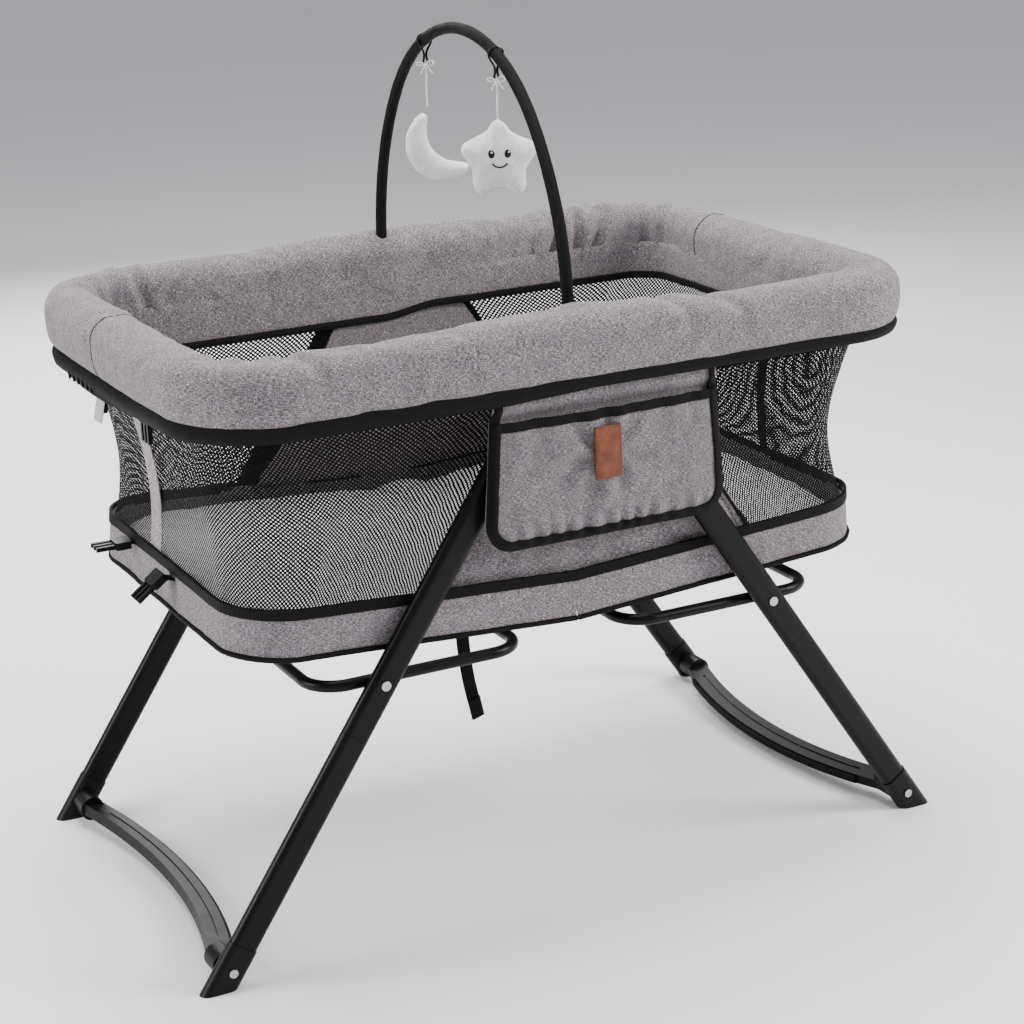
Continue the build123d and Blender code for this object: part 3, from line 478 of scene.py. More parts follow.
def smooth_line(points, step=0.004):
    """A Catmull-Rom line through the points."""
    p = np.asarray(points, float)
    p = np.vstack([2 * p[0] - p[1], p, 2 * p[-1] - p[-2]])
    line = []
    for a, b, c, d in zip(p, p[1:], p[2:], p[3:]):
        n = max(2, int(np.linalg.norm(c - b) / step))
        for t in np.linspace(0, 1, n, endpoint=False):
            curve = (2 * a - 5 * b + 4 * c - d) * t**2 + (3 * b - a - 3 * c + d) * t**3
            line.append(0.5 * (2 * b + (c - a) * t + curve))
    line.append(p[-2])
    return np.array(line)


def half_ring(a, b, r, x_from=0.0, counts=(24, 10, 26)):
    """The left half of a rounded rectangle, near side to far side round the end, with outward normals."""
    straight, corner, end = counts
    points, normals = [], []

    def run(p, q, n, normal, last=False):
        for t in np.linspace(0, 1, n, endpoint=last):
            points.append((p[0] + (q[0] - p[0]) * t, p[1] + (q[1] - p[1]) * t))
            normals.append(normal)

    def turn(cx, cy, start):
        for t in np.linspace(0, 1, corner, endpoint=False):
            angle = radians(start - 90 * t)
            points.append((cx + r * cos(angle), cy + r * sin(angle)))
            normals.append((cos(angle), sin(angle)))

    run((-x_from, -b), (-(a - r), -b), straight, (0, -1))
    turn(-(a - r), -(b - r), 270)
    run((-a, -(b - r)), (-a, b - r), end, (-1, 0))
    turn(-(a - r), b - r, 180)
    run((-(a - r), b), (-x_from, b), straight, (0, 1), last=True)
    return np.array(points), np.array(normals)


def wobble(p, scale, seed=0.0):
    """Smooth noise from -1 to 1 at a point."""
    return noise.noise(Vector((p[0] * scale + seed, p[1] * scale - seed, p[2] * scale + 2 * seed)))


def flipped(points):
    """The points mirrored to the right half of the cot."""
    return np.asarray(points) * np.array([-1, 1, 1])


SIM_FRAMES = 20


def puff(piece, pinned, pressure, grow, cap, bend=0.5, stiff=12.0):
    """Inflates a cloth piece by cloth simulation, pinned points staying put, and keeps the result."""
    group = piece.vertex_groups.new(name="pin")
    for i, w in enumerate(pinned):
        if w > 0:
            group.add([i], float(w), "REPLACE")
    cloth = piece.modifiers.new("cloth", "CLOTH")
    s = cloth.settings
    s.quality, s.mass, s.air_damping = 6, 0.3, 4.0
    s.tension_stiffness = s.compression_stiffness = stiff
    s.shear_stiffness, s.bending_stiffness = stiff * 0.4, bend
    s.use_pressure, s.uniform_pressure_force = pressure > 0, pressure
    s.effector_weights.gravity = 0
    s.shrink_min = -grow
    s.vertex_group_mass = "pin"
    s.pin_stiffness = 50.0
    cloth.collision_settings.use_collision = False
    scene = bpy.context.scene
    for f in range(1, SIM_FRAMES + 1):
        scene.frame_set(f)
    shown = piece.evaluated_get(bpy.context.evaluated_depsgraph_get()).to_mesh()
    moved = np.array([v.co for v in shown.vertices], float)
    rest = np.array([v.co for v in piece.data.vertices], float)
    step = moved - rest
    far = np.linalg.norm(step, axis=1, keepdims=True)
    step *= np.minimum(1, cap / np.maximum(far, 1e-9))
    piece.modifiers.remove(cloth)
    scene.frame_set(1)
    piece.data.vertices.foreach_set("co", (rest + step).ravel())
    piece.data.update()
    return piece


def apply_all(piece):
    """Keeps the shape that a piece's modifiers give."""
    shown = piece.evaluated_get(bpy.context.evaluated_depsgraph_get())
    mesh = bpy.data.meshes.new_from_object(shown)
    piece.modifiers.clear()
    piece.data = mesh
    return piece


def subdivide(piece):
    m = piece.modifiers.new("smooth", "SUBSURF")
    m.levels = m.render_levels = 1
    return apply_all(piece)


def thicken(piece, thick):
    m = piece.modifiers.new("thick", "SOLIDIFY")
    m.thickness, m.offset = thick, 0.0
    return apply_all(piece)


def fold_rim(piece):
    """Bakes a rim piece's placement into its mesh."""
    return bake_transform(piece)


def fold_base(piece):
    """Bakes a base piece's placement into its mesh."""
    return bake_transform(piece)


# ------------------------------------------------------------------ camera, light and floor
YAW, PITCH, ROLL = -0.46690, 0.30960, -0.03500
forward = Vector((-sin(YAW) * cos(PITCH), cos(YAW) * cos(PITCH), -sin(PITCH)))
level = Vector((cos(YAW), sin(YAW), 0))
upward = level.cross(forward)
right = level * cos(ROLL) + upward * sin(ROLL)
upward = upward * cos(ROLL) - level * sin(ROLL)
camera = bpy.data.objects.new("camera", bpy.data.cameras.new("camera"))
bpy.context.scene.collection.objects.link(camera)
camera.data.lens, camera.data.sensor_width = 83.68, 36
turn = Matrix((right, upward, -forward)).transposed().to_4x4()
camera.matrix_world = Matrix.Translation((-1.18704, -2.44692, 1.25916)) @ turn
bpy.context.scene.camera = camera

world = bpy.data.worlds.new("studio")
world.use_nodes = True
world.node_tree.nodes["Background"].inputs["Color"].default_value = (0.94, 0.95, 1.0, 1)
world.node_tree.nodes["Background"].inputs["Strength"].default_value = 0.45
bpy.context.scene.world = world


def softbox(name, place, aim, wide, tall, watts):
    lamp = bpy.data.lights.new(name, "AREA")
    lamp.shape, lamp.size, lamp.size_y, lamp.energy = "RECTANGLE", wide, tall, watts
    ob = bpy.data.objects.new(name, lamp)
    bpy.context.scene.collection.objects.link(ob)
    ob.location = place
    ob.rotation_euler = (Vector(aim) - Vector(place)).to_track_quat("-Z", "Y").to_euler()


softbox("key", (2.3, -1.7, 1.7), (0.1, 0, 0.5), 1.1, 1.3, 105)
softbox("kicker", (-2.7, 0.3, 1.2), (0, 0, 0.55), 1.2, 1.2, 62)
softbox("fill", (-1.3, -2.9, 2.0), (0, 0, 0.4), 1.5, 1.5, 5)
softbox("top", (0, 0.5, 2.8), (0, 0, 0.4), 1.6, 1.6, 104)
softbox("back", (0.5, 3.0, 1.6), (0, 0, 0.4), 2.0, 1.4, 68)

floor_paint = Paint("studio_floor", roughness=0.8)
floor_tone = floor_paint.noise(floor_paint.coords("Object"), 3.0, 3.0)
floor_shades = floor_paint.ramp(floor_tone, (0.2, (0.96, 0.96, 0.96)), (0.8, (0.98, 0.98, 0.98)))
floor_paint.feed("Base Color", floor_shades)
floor_mesh = bpy.data.meshes.new("floor")
floor_mesh.from_pydata([(-9, -9, 0), (9, -9, 0), (9, 9, 0), (-9, 9, 0)], [], [(0, 1, 2, 3)])
floor_mesh.materials.append(floor_paint.material)
floor = bpy.data.objects.new("floor", floor_mesh)
bpy.context.scene.collection.objects.link(floor)


# ------------------------------------------------------------------ cords: the toys' strings
def string(name, toy, node, sway):
    """A toy's string, hanging from its ribbon loop."""
    low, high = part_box(node)
    x, y = (low.x + high.x) / 2, (low.y + high.y) / 2
    drop = high.z - low.z
    curve = bpy.data.curves.new(name, "CURVE")
    curve.dimensions, curve.bevel_depth, curve.bevel_resolution, curve.resolution_u = "3D", 0.001, 4, 16
    spline = curve.splines.new("NURBS")
    route = ((0, 0, 0), (sway, 0, -0.3), (-sway, sway, -0.7), (0, 0, -1))
    spline.points.add(len(route) - 1)
    for point, (dx, dy, dz) in zip(spline.points, route):
        point.co = (x + dx, y + dy, high.z + dz * drop, 1)
    spline.order_u, spline.use_endpoint_u = 3, True
    curve.materials.append(M["string"])
    piece = bpy.data.objects.new(name, curve)
    bpy.context.scene.collection.objects.link(piece)
    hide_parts(node)
    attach(piece, toy)
    return Vector((x, y, high.z))


moon_eye = string("moon_cord", "moon_toy", "moon_string", 0.0006)
star_eye = string("star_cord", "star_toy", "star_string", 0.0005)


# ------------------------------------------------------------------ rim rolls
ROLL_POINTS = 44


def roll_section(wide, tall, corner):
    """The roll's rounded cross-section, from the inner bottom edge round the inside, top and outside."""
    path = []
    w, t = wide / 2 - corner, tall / 2 - corner
    for cx, cz, start in ((-w, -t, 270), (-w, t, 180), (w, t, 90), (w, -t, 0)):
        for turn_by in np.linspace(0, -90, 8):
            a = radians(start + turn_by)
            path.append((cx + corner * cos(a), cz + corner * sin(a)))
    path = np.array(path + path[:1])
    run = np.concatenate([[0], np.cumsum(np.linalg.norm(np.diff(path, axis=0), axis=1))])
    at = np.linspace(0, run[-1], ROLL_POINTS, endpoint=False)
    return np.stack([np.interp(at, run, path[:, k]) for k in range(2)], axis=1)


# Deep folds across the roll: place along the cot, slant, depth and width
FAR_FOLDS = ((0.205, 0.25, 0.0070, 0.008), (0.243, 0.35, 0.0150, 0.0080), (0.272, 0.15, 0.0140, 0.0070),
             (0.302, 0.45, 0.0150, 0.0080), (-0.315, -0.3, 0.0050, 0.008), (-0.285, 0.2, 0.0035, 0.007))
NEAR_FOLDS = ((0.105, 0.5, 0.0035, 0.010), (0.165, 0.8, 0.0040, 0.011), (-0.325, 0.5, 0.0040, 0.010))


def roll_relief(p, n, out, height):
    """How far the roll's cloth stands in or out at a point: lumps, gathers in the corners, drapes and folds.

    out runs from -1 on the inside to 1 on the outside, and height from 0 at the bottom to 1 at the top.
    """
    x, y, z = p
    lift = 0.0028 * wobble(p, 8) + 0.0016 * wobble(p, 24, 3.1) + 0.0007 * wobble(p, 60, 7.7)
    corner = min(1.0, max(0.0, (abs(n[0] * n[1]) - 0.05) * 3))
    angle = atan2(n[1], n[0])
    gathers = sin(angle * 13 + 3 * wobble(p, 11, 5.0)) * (0.0024 if out < 0 else 0.0009 * (1.1 - height))
    lift += corner * gathers
    if out < 0:
        # The roll swells inwards over the arch's foot
        lift += 0.0085 * -out * np.exp(-((x / 0.028) ** 2))
    # It stands over the top edges of the hub plates
    lift += 0.0062 * np.exp(-((x / 0.150) ** 8)) * min(1.0, max(0.0, (height - 0.55) / 0.25))
    slant = (height - 0.5) * ROLL_TALL
    if y > 0 and out < 0.7:
        fade = min(1.0, (0.7 - out) * 1.6)
        for at, lean, depth, wide in FAR_FOLDS:
            d = (x - at - lean * slant - 0.004 * wobble(p, 20, 9.0)) / wide
            lift += fade * depth * (0.55 * np.exp(-((abs(d) - 1.5) / 0.8) ** 2) - np.exp(-(d * d)))
    if y < 0 and height > 0.4:
        for at, lean, depth, wide in NEAR_FOLDS:
            d = (x - at - lean * out * 0.03) / wide
            ridge = 0.4 * np.exp(-((abs(d) - 1.6) / 0.9) ** 2) - np.exp(-(d * d))
            lift += depth * (height - 0.4) * 1.6 * ridge
    if y < 0 and out > 0.2:
        low = max(0.0, 0.8 - height) ** 1.1
        drape = sin((x * 0.75 + z * 1.3) * 2 * pi / 0.052 + 2.2 * wobble(p, 7, 1.3))
        lift += 0.0056 * drape * low * np.exp(-((x + 0.24) / 0.13) ** 2)
        lift += 0.0020 * sin((x * 0.6 - z) * 2 * pi / 0.045 + 2 * wobble(p, 9, 2.0)) * low
    if y > 0 and out < 0:
        low = max(0.0, 0.9 - height)
        lift += 0.0020 * sin((x - 0.5 * z) * 2 * pi / 0.060 + 2.5 * wobble(p, 8, 6.0)) * low
    return lift


def whole_ring(left):
    """The full ring of rows from the left half's rows, which run from the near side to the far side."""
    left = np.asarray(left, float)
    return np.concatenate([left, flipped(left)[::-1][1:-1]])


def rim_roll():
    """The padded roll, puffed up as one ring and then parted at the middle of the cot."""
    half, half_out = half_ring(ROLL_X, ROLL_Y, ROLL_CORNER, counts=(52, 22, 54))
    ring = whole_ring(np.column_stack([half, np.zeros(len(half))]))
    out = whole_ring(np.column_stack([half_out, np.zeros(len(half))]))
    section = roll_section(ROLL_WIDE, ROLL_TALL, 0.026)
    rows = []
    for (x, y, _), (nx, ny, _) in zip(ring, out):
        row = []
        for s, t in section:
            p = np.array([x + nx * s, y + ny * s, RIM_Z + t])
            lift = roll_relief(p, (nx, ny), s / (ROLL_WIDE / 2), t / ROLL_TALL + 0.5)
            mid = np.array([s / (ROLL_WIDE / 2), t / (ROLL_TALL / 2)])
            mid = mid / max(1e-6, np.linalg.norm(mid))
            # The binding holds the cloth in along the outer bottom edge
            held = min(1.0, max(0.0, (-t / ROLL_TALL - 0.18) / 0.12)) if s > 0 else 0.0
            lift = lift * (1 - held) + held * (0.3 * min(lift, 0) - 0.0015) - (0.0016 if s > 0 else 0)
            row.append(p + np.array([nx * mid[0], ny * mid[0], mid[1]]) * lift)
        rows.append(row)
    rows = np.array(rows)
    count, cols = rows.shape[:2]
    faces = []
    for i in range(count):
        for j in range(cols):
            this, after, k = i * cols, (i + 1) % count * cols, (j + 1) % cols
            faces.append((after + j, after + k, this + k, this + j))
    blank = make("roll_draft", rows.reshape(-1, 3), faces, "grey")
    low_share = (RIM_Z - rows[:, :, 2].ravel()) / ROLL_TALL
    pins = np.clip((low_share - 0.12) / 0.2, 0, 1)
    puff(blank, pins, pressure=2.0, grow=0.006, cap=0.0022, bend=0.35, stiff=14)
    co = np.array([v.co for v in blank.data.vertices]).reshape(rows.shape)
    bpy.data.objects.remove(blank)
    reach = len(half)
    halves = {"left": co[:reach], "right": np.concatenate([co[reach - 1:], co[:1]])}
    for side, sign in SIDES:
        piece = grid(f"rim_roll_{side}", halves[side], "grey", closed=True, flip=True)
        subdivide(piece)
        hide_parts(f"rim_pad_{side}", "centre_cover_near" if sign < 0 else "centre_cover_far")
        fold_rim(piece)
        # A stitched seam runs round the roll at its end
        first = halves[side][:, 0]
        seam_y = 0.125 if sign > 0 else 0.03
        row = halves[side][np.argmin(np.abs(first[:, 1] - seam_y) - 0.5 * np.abs(first[:, 0]))]
        line = np.vstack([row, row[:1]])
        seam = sweep(f"roll_seam_{side}", line, (1, 0, 0), round_profile(0.0007, 6), "thread")
        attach(seam, f"rim_{side}")


def ring_tape(name, sign, place, paint):
    """A strip round half of the rim. place gives rows of (out, height) points from the ring's place."""
    ring, normals = half_ring(ROLL_X, ROLL_Y, ROLL_CORNER, counts=(60, 24, 60))
    rows = []
    for (x, y), (nx, ny) in zip(ring, normals):
        rows.append([(x + nx * s, y + ny * s, z) for s, z in place(x * (1 if sign < 0 else -1), y)])
    rows = np.array(rows)
    if sign > 0:
        rows = flipped(rows)
    return grid(name, rows, paint, closed=True, flip=sign < 0)


def strip_section(top, low, out_top, out_low, thick, bow=0.0015):
    """The closed outline of a thin strip that hangs from (out_top, top) to (out_low, low)."""
    points = []
    for half, steps in ((thick / 2, np.linspace(0, 1, 6)), (-thick / 2, np.linspace(1, 0, 6))):
        for t in steps:
            out = out_top + (out_low - out_top) * t + bow * sin(pi * t) + half
            points.append((out, top + (low - top) * t))
    return points


def outer_binding(x, y):
    """The black binding under the roll, deeper along the near left half and round the left end."""
    deep = 0.0145
    if x < 0 and y < 0.2:
        deep += 0.005 * min(1, -x / 0.1)
    ripple = 0.0012 * wobble((x, y, 0), 22) + 0.0006 * wobble((x, y, 1), 70)
    near = min(1.0, max(0.0, (-y - 0.06) / 0.12))
    top = RIM_Z - ROLL_TALL / 2 + 0.010 + 0.009 * near
    out = ROLL_WIDE / 2 - 0.008 + ripple + 0.004 * near
    return strip_section(top, top - deep, out - 0.0035, out - 0.0015, 0.0018, bow=0.0035)


def lining_low(x, y):
    """Height of the lining's hem, lower along the far side left of the arch."""
    share = min(1.0, max(0.0, (0.07 - x) / 0.08)) if y > 0 else 0.0
    drop = 0.010 * share * share * (3 - 2 * share)
    return RIM_Z - ROLL_TALL / 2 - 0.010 - drop + 0.0008 * wobble((x, y, 8), 18)


def lining_ripple(x, y):
    return 0.0016 * wobble((x, y, 3), 25) + 0.0008 * wobble((x, y, 5), 60)


def inner_hem(x, y):
    """The grey lining under the inside of the roll."""
    low, ripple = lining_low(x, y), lining_ripple(x, y)
    inside = -ROLL_WIDE / 2
    return strip_section(RIM_Z - 0.006, low, inside + 0.0005, inside - 0.0005 + ripple, 0.0016, -0.0015)


def inner_piping(x, y):
    low, ripple = lining_low(x, y), lining_ripple(x, y)
    return [(-ROLL_WIDE / 2 - 0.0005 + ripple + s, low + 1.4 * t) for s, t in round_profile(0.0036, 10)]


rim_roll()
for side, sign in SIDES:
    for name, place, paint in (("rim_binding", outer_binding, "band"), ("rim_lining", inner_hem, "grey_panel"),
                               ("rim_piping", inner_piping, "band")):
        fold_rim(ring_tape(f"{name}_{side}", sign, place, paint))


WALL_LEVELS = 30
WALL_COUNTS = (40, 18, 44)


def wall_rows(end):
    """Points of one end's wall, drawn on the left, a row for each step round the ring, from the top down."""
    start, _ = half_ring(*wall_at(0.42), x_from=panel_edge(0.42, end), counts=WALL_COUNTS)
    columns = []
    for k in range(WALL_LEVELS):
        t = k / (WALL_LEVELS - 1)
        z = np.array([WALL_TOP + (band_top_z(x) - 0.006 - WALL_TOP) * t for x, _ in start])
        column = []
        for i, zi in enumerate(z):
            zi = max(zi, WALL_Z[0] - 0.01)
            ring, normals = ring_at(round(zi, 3), end)
            (x, y), (nx, ny) = ring[i], normals[i]
            push = 0.0016 * wobble((x, y, zi), 8) + 0.0007 * wobble((x, y, zi), 26, 4.0)
            column.append((x + nx * push, y + ny * push, z[i]))
        columns.append(column)
    return np.array(columns).transpose(1, 0, 2)


RINGS = {}


def ring_at(z, end):
    if (z, end) not in RINGS:
        RINGS[z, end] = half_ring(*wall_at(z), x_from=panel_edge(z, end), counts=WALL_COUNTS)
    return RINGS[z, end]


def wall_fold(piece):
    """Parents a wall piece to the hub frame and gives it a mesh of its own."""
    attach(piece, "hub_frame")
    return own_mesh(piece)


for side, sign in SIDES:
    rows = wall_rows(0) if sign < 0 else flipped(wall_rows(1))
    net = grid(f"net_{side}", rows, "net", flip=sign > 0)
    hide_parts(f"wall_{side}")
    wall_fold(net)


def wall_line(y, push=0.002):
    """A line down the wall's left end at a place across the cot, and the wall's outward normals there."""
    points, normals = [], []
    for t in np.linspace(0, 1, 26):
        z = WALL_TOP + (WALL_Z[0] + 0.012 - WALL_TOP) * t
        a, b, r = wall_at(z)
        ring, out = half_ring(a, b, r, x_from=0, counts=(80, 40, 80))
        i = np.argmin(np.abs(ring[:, 1] - y) + 9 * (ring[:, 0] > -a + 0.03))
        p = ring[i] + out[i] * push
        if z < band_top_z(p[0]):
            break
        points.append((p[0], p[1], z))
        normals.append((out[i][0], out[i][1], 0))
    return np.array(points), np.array(normals)


# One strip runs down each end of the net: where it is across the cot, its width and its cloth
for (side, sign), (y, wide, paint) in zip(SIDES, ((0.022, 0.034, "grey_pale"), (-0.018, 0.016, "band"))):
    line, out = wall_line(y)
    if sign > 0:
        line, out = flipped(line), flipped(out)
    wall_fold(tape(f"end_strip_{side}", line, out, wide, 0.0016, paint))


def side_point(x, z, across):
    """The wall's place on the long side, at x and z."""
    return np.array([x, across * wall_at(max(z, WALL_Z[0]))[1], z])


def panel(across, name):
    """The grey middle panel, gathered in pleats at the bottom."""
    rows = []
    for u in np.linspace(-1, 1, 90):
        row = []
        for t in np.linspace(0, 1, 34):
            left, right_x = (panel_edge(WALL_TOP + (WALL_Z[0] - WALL_TOP) * t, end) for end in (0, 1))
            x = -left + (left + right_x) * (u + 1) / 2
            z = WALL_TOP + (band_top_z(x) - 0.006 - WALL_TOP) * t
            p = side_point(x, z, across)
            pleat = sin(u * 24 + 2.5 * wobble((u * 2, t, 0), 1.2)) * 0.0035 * t ** 1.5
            tuck = min(1.0, max(0.0, (t - 0.84) / 0.12))
            p[1] += across * ((0.0015 + pleat + 0.0015 * wobble(p, 16, 2.0)) * (1 - tuck) - 0.0035 * tuck)
            row.append(p)
        rows.append(row)
    piece = grid(name, rows, "grey_panel", flip=across > 0)
    thicken(piece, 0.0012)
    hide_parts("centre_" + name)
    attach(piece, "hub_frame")
    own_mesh(piece)
    for end, way in ((0, -1), (1, 1)):
        line = [side_point(way * panel_edge(z, end), z, across) + np.array([0, across * 0.003, 0])
                for z in np.linspace(WALL_TOP, band_top_z(0.19) - 0.004, 24)]
        wide = 0.016 if across > 0 and way > 0 else 0.004
        seam = tape(f"{name}_seam_{SIDES[end][0]}", line, (0, across, 0), wide, 0.0014, "band")
        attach(seam, "hub_frame")
        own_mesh(seam)


panel(-1, "panel_near")
panel(1, "panel_far")


# ------------------------------------------------------------------ base band, mattress and strap
def base_strip(name, sign, section, paint, ripple=0.0):
    """A strip round half of the base, from (out, over) points."""
    ring, normals = half_ring(BAND_X, BAND_Y, BAND_CORNER, x_from=0.0008, counts=(50, 22, 50))
    rows = []
    for (x, y), (nx, ny) in zip(ring, normals):
        row = []
        for s, over in section:
            shake = ripple * wobble((x * sign, y, over), 14, 5.0)
            shake += ripple * 0.5 * wobble((x * sign, y, over * 0.3), 45, 1.0)
            row.append(base_point(-(x + nx * (s + shake)) - HINGE_X, y + ny * (s + shake), over))
        rows.append(row)
    rows = np.array(rows)
    if sign > 0:
        rows = flipped(rows)
    return fold_base(grid(name, rows, paint, closed=True, flip=sign < 0))


def slab(low, high, out, thick, steps=7):
    """The closed outline of an upright strip."""
    rise = np.linspace(low, high, steps)
    return [(out, h) for h in rise] + [(out - thick, h) for h in rise[::-1]]


for side, sign in SIDES:
    skirt = slab(BAND_UNDER + 0.003, BAND_OVER - 0.003, 0.0006, 0.0022, 12)
    band = base_strip(f"base_skirt_{side}", sign, skirt, "grey", 0.0022)
    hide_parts(f"base_band_{side}")
    top = slab(BAND_OVER - 0.011, BAND_OVER + 0.001, 0.0024, 0.0040)
    base_strip(f"base_top_binding_{side}", sign, top, "band", 0.0016)
    low = [(0.0004 + s, BAND_UNDER + 0.003 + t) for s, t in round_profile(0.0032, 10)]
    base_strip(f"base_low_binding_{side}", sign, low, "band", 0.0012)


def copy_node(node, name, paint, voxel):
    """A cloth copy of a CAD node, remeshed evenly and cleared of its old UVs; top_uv gives UVs from above, in
    metres.
    """
    source = frame["nodes"][node]
    piece = bpy.data.objects.new(name, source.data.copy())
    bpy.context.scene.collection.objects.link(piece)
    piece.data.materials.clear()
    if "cloth" in piece.data.uv_layers:
        piece.data.uv_layers.remove(piece.data.uv_layers["cloth"])
    m = piece.modifiers.new("even", "REMESH")
    m.mode, m.voxel_size, m.adaptivity = "VOXEL", voxel, 0
    apply_all(piece)
    piece.data.materials.append(M[paint])
    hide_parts(node)
    return piece


def top_uv(piece):
    layer = piece.data.uv_layers.new(name="cloth")
    co = np.array([v.co for v in piece.data.vertices])
    index = np.zeros(len(piece.data.loops), np.int32)
    piece.data.loops.foreach_get("vertex_index", index)
    layer.data.foreach_set("uv", co[index][:, :2].astype(np.float32).ravel())
    piece.data.polygons.foreach_set("use_smooth", [True] * len(piece.data.polygons))


for side, sign in SIDES:
    pad = copy_node(f"mattress_{side}", f"mattress_cover_{side}", "mattress", 0.006)
    co = np.array([v.co for v in pad.data.vertices])
    under = base_point(0, 0, 0.010)[2]
    floor_z = under + (np.abs(co[:, 0]) - HINGE_X) * sin(BAND_TILT)
    puff(pad, (co[:, 2] < floor_z).astype(float), pressure=2.0, grow=0.02, cap=0.004, bend=1.0)
    top_uv(pad)
    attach(pad, f"base_{side}")

# Cloth over the slat closes the gap between the mattress halves
bridge_z = slat_high[2] + 0.018
rows = []
for x in np.linspace(-0.032, 0.032, 14):
    arch = bridge_z + 0.010 - 0.006 * (x / 0.032) ** 2
    rows.append([(x, y, arch + 0.0012 * wobble((x, y, 0), 30)) for y in np.linspace(-0.224, 0.224, 70)])
bridge = grid("mattress_bridge", rows, "mattress", flip=True)
thicken(bridge, 0.002)
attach(bridge, "base_spine")

strap_low, strap_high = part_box("fold_strap")
strap_y = (strap_low.y + strap_high.y) / 2
strap_route = [(-0.004, strap_y, strap_high.z), (-0.003, strap_y, 0.250), (0.003, strap_y, 0.170),
               (0.016, strap_y, strap_low.z + 0.001)]
strap_line = smooth_line(strap_route)
strap_out = np.array([(0.25 * t - 0.1, -0.97, 0.05) for t in np.linspace(0, 1, len(strap_line))])
strap = tape("base_strap", strap_line, strap_out, 0.018, 0.002, "web")
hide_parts("fold_strap")
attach(strap, "base_spine")
hem_line = strap_line[-8:] + np.array([0.0002, -0.0020, 0])
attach(tape("base_strap_hem", hem_line, strap_out[-8:], 0.0182, 0.0018, "web"), "base_spine")


# ------------------------------------------------------------------ pocket
POCKET_X = (-0.116, 0.160)
POCKET_FLARE = 0.012
POCKET_LOW, POCKET_TOP = pocket_low[2], pocket_high[2]
POCKET_MOUTH = 0.583
POCKET_HANG = 0.6115
POCKET_BACK = pocket_high[1]
POCKET_ROUND = 0.034


def pocket_sides(z):
    """The pocket's left and right edges at height z."""
    flare = POCKET_FLARE * (POCKET_TOP - z) / (POCKET_TOP - POCKET_LOW)
    rise = z - POCKET_LOW
    tuck = 0
    if rise < POCKET_ROUND:
        tuck = POCKET_ROUND - sqrt(max(0.0, POCKET_ROUND**2 - (POCKET_ROUND - rise) ** 2))
    return POCKET_X[0] - flare + tuck, POCKET_X[1] + flare - tuck


def pocket_face(x, z):
    """How far out the pocket's front cloth is: bulged, with puckers above the hem and round the label."""
    left, right_x = pocket_sides(z)
    u = (x - left) / max(1e-6, right_x - left)
    v = (z - POCKET_LOW) / (POCKET_MOUTH - POCKET_LOW)
    bulge = (max(0.0, 4 * u * (1 - u)) ** 0.5) * (max(0.0, min(1.0, v * 3)) ** 0.5)
    p = (x, 0, z)
    lumps = 0.0034 * wobble(p, 14, 1.0) + 0.0024 * wobble(p, 34, 2.0) + 0.0010 * wobble(p, 75, 3.0)
    near_hem = np.exp(-((v - 0.07) / 0.10) ** 2)
    gather = 0.0032 * sin((x + 0.12 * (z - POCKET_LOW)) * 2 * pi / 0.021 + 2 * wobble(p, 20)) * near_hem
    mouth = 0.0016 * sin(x * 2 * pi / 0.047 + 2 * wobble(p, 9, 6.0)) * max(0.0, v) ** 3
    star_in = np.hypot((x - 0.016) / 0.05, (z - 0.535) / 0.06)
    pull = 0.0032 * sin(7 * atan2(z - 0.535, x - 0.016)) * np.exp(-((star_in - 0.75) / 0.35) ** 2)
    return POCKET_BACK - 0.0045 - 0.0085 * bulge - (lumps + gather + mouth + pull) * min(1.0, bulge * 1.6)


def pocket_fold(piece):
    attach(piece, "hub_frame")
    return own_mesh(piece)


def pocket_sheet(name, top, face, thick):
    rows = []
    for u in np.linspace(0, 1, 110):
        row = []
        for t in np.linspace(0, 1, 64):
            z = POCKET_LOW + 0.0006 + (top - POCKET_LOW - 0.0006) * t
            left, right_x = pocket_sides(z)
            x = left + (right_x - left) * u
            row.append((x, face(x, z), z))
        rows.append(row)
    piece = grid(name, rows, "grey_pocket_painted_shade")
    thicken(piece, thick)
    return piece


front = pocket_sheet("pocket_front", POCKET_MOUTH, pocket_face, 0.0012)
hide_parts("pocket")
pocket_fold(front)


def lining_face(x, z):
    """The pocket's back cloth: it leans out over the right release button and on up to the roll's binding."""
    lean = min(1.0, max(0.0, (z - 0.586) / 0.012))
    return POCKET_BACK - 0.001 - 0.0012 * wobble((x, 1, z), 18) - 0.0075 * lean


back = pocket_sheet("pocket_lining", POCKET_HANG, lining_face, 0.0012)
pocket_fold(back)

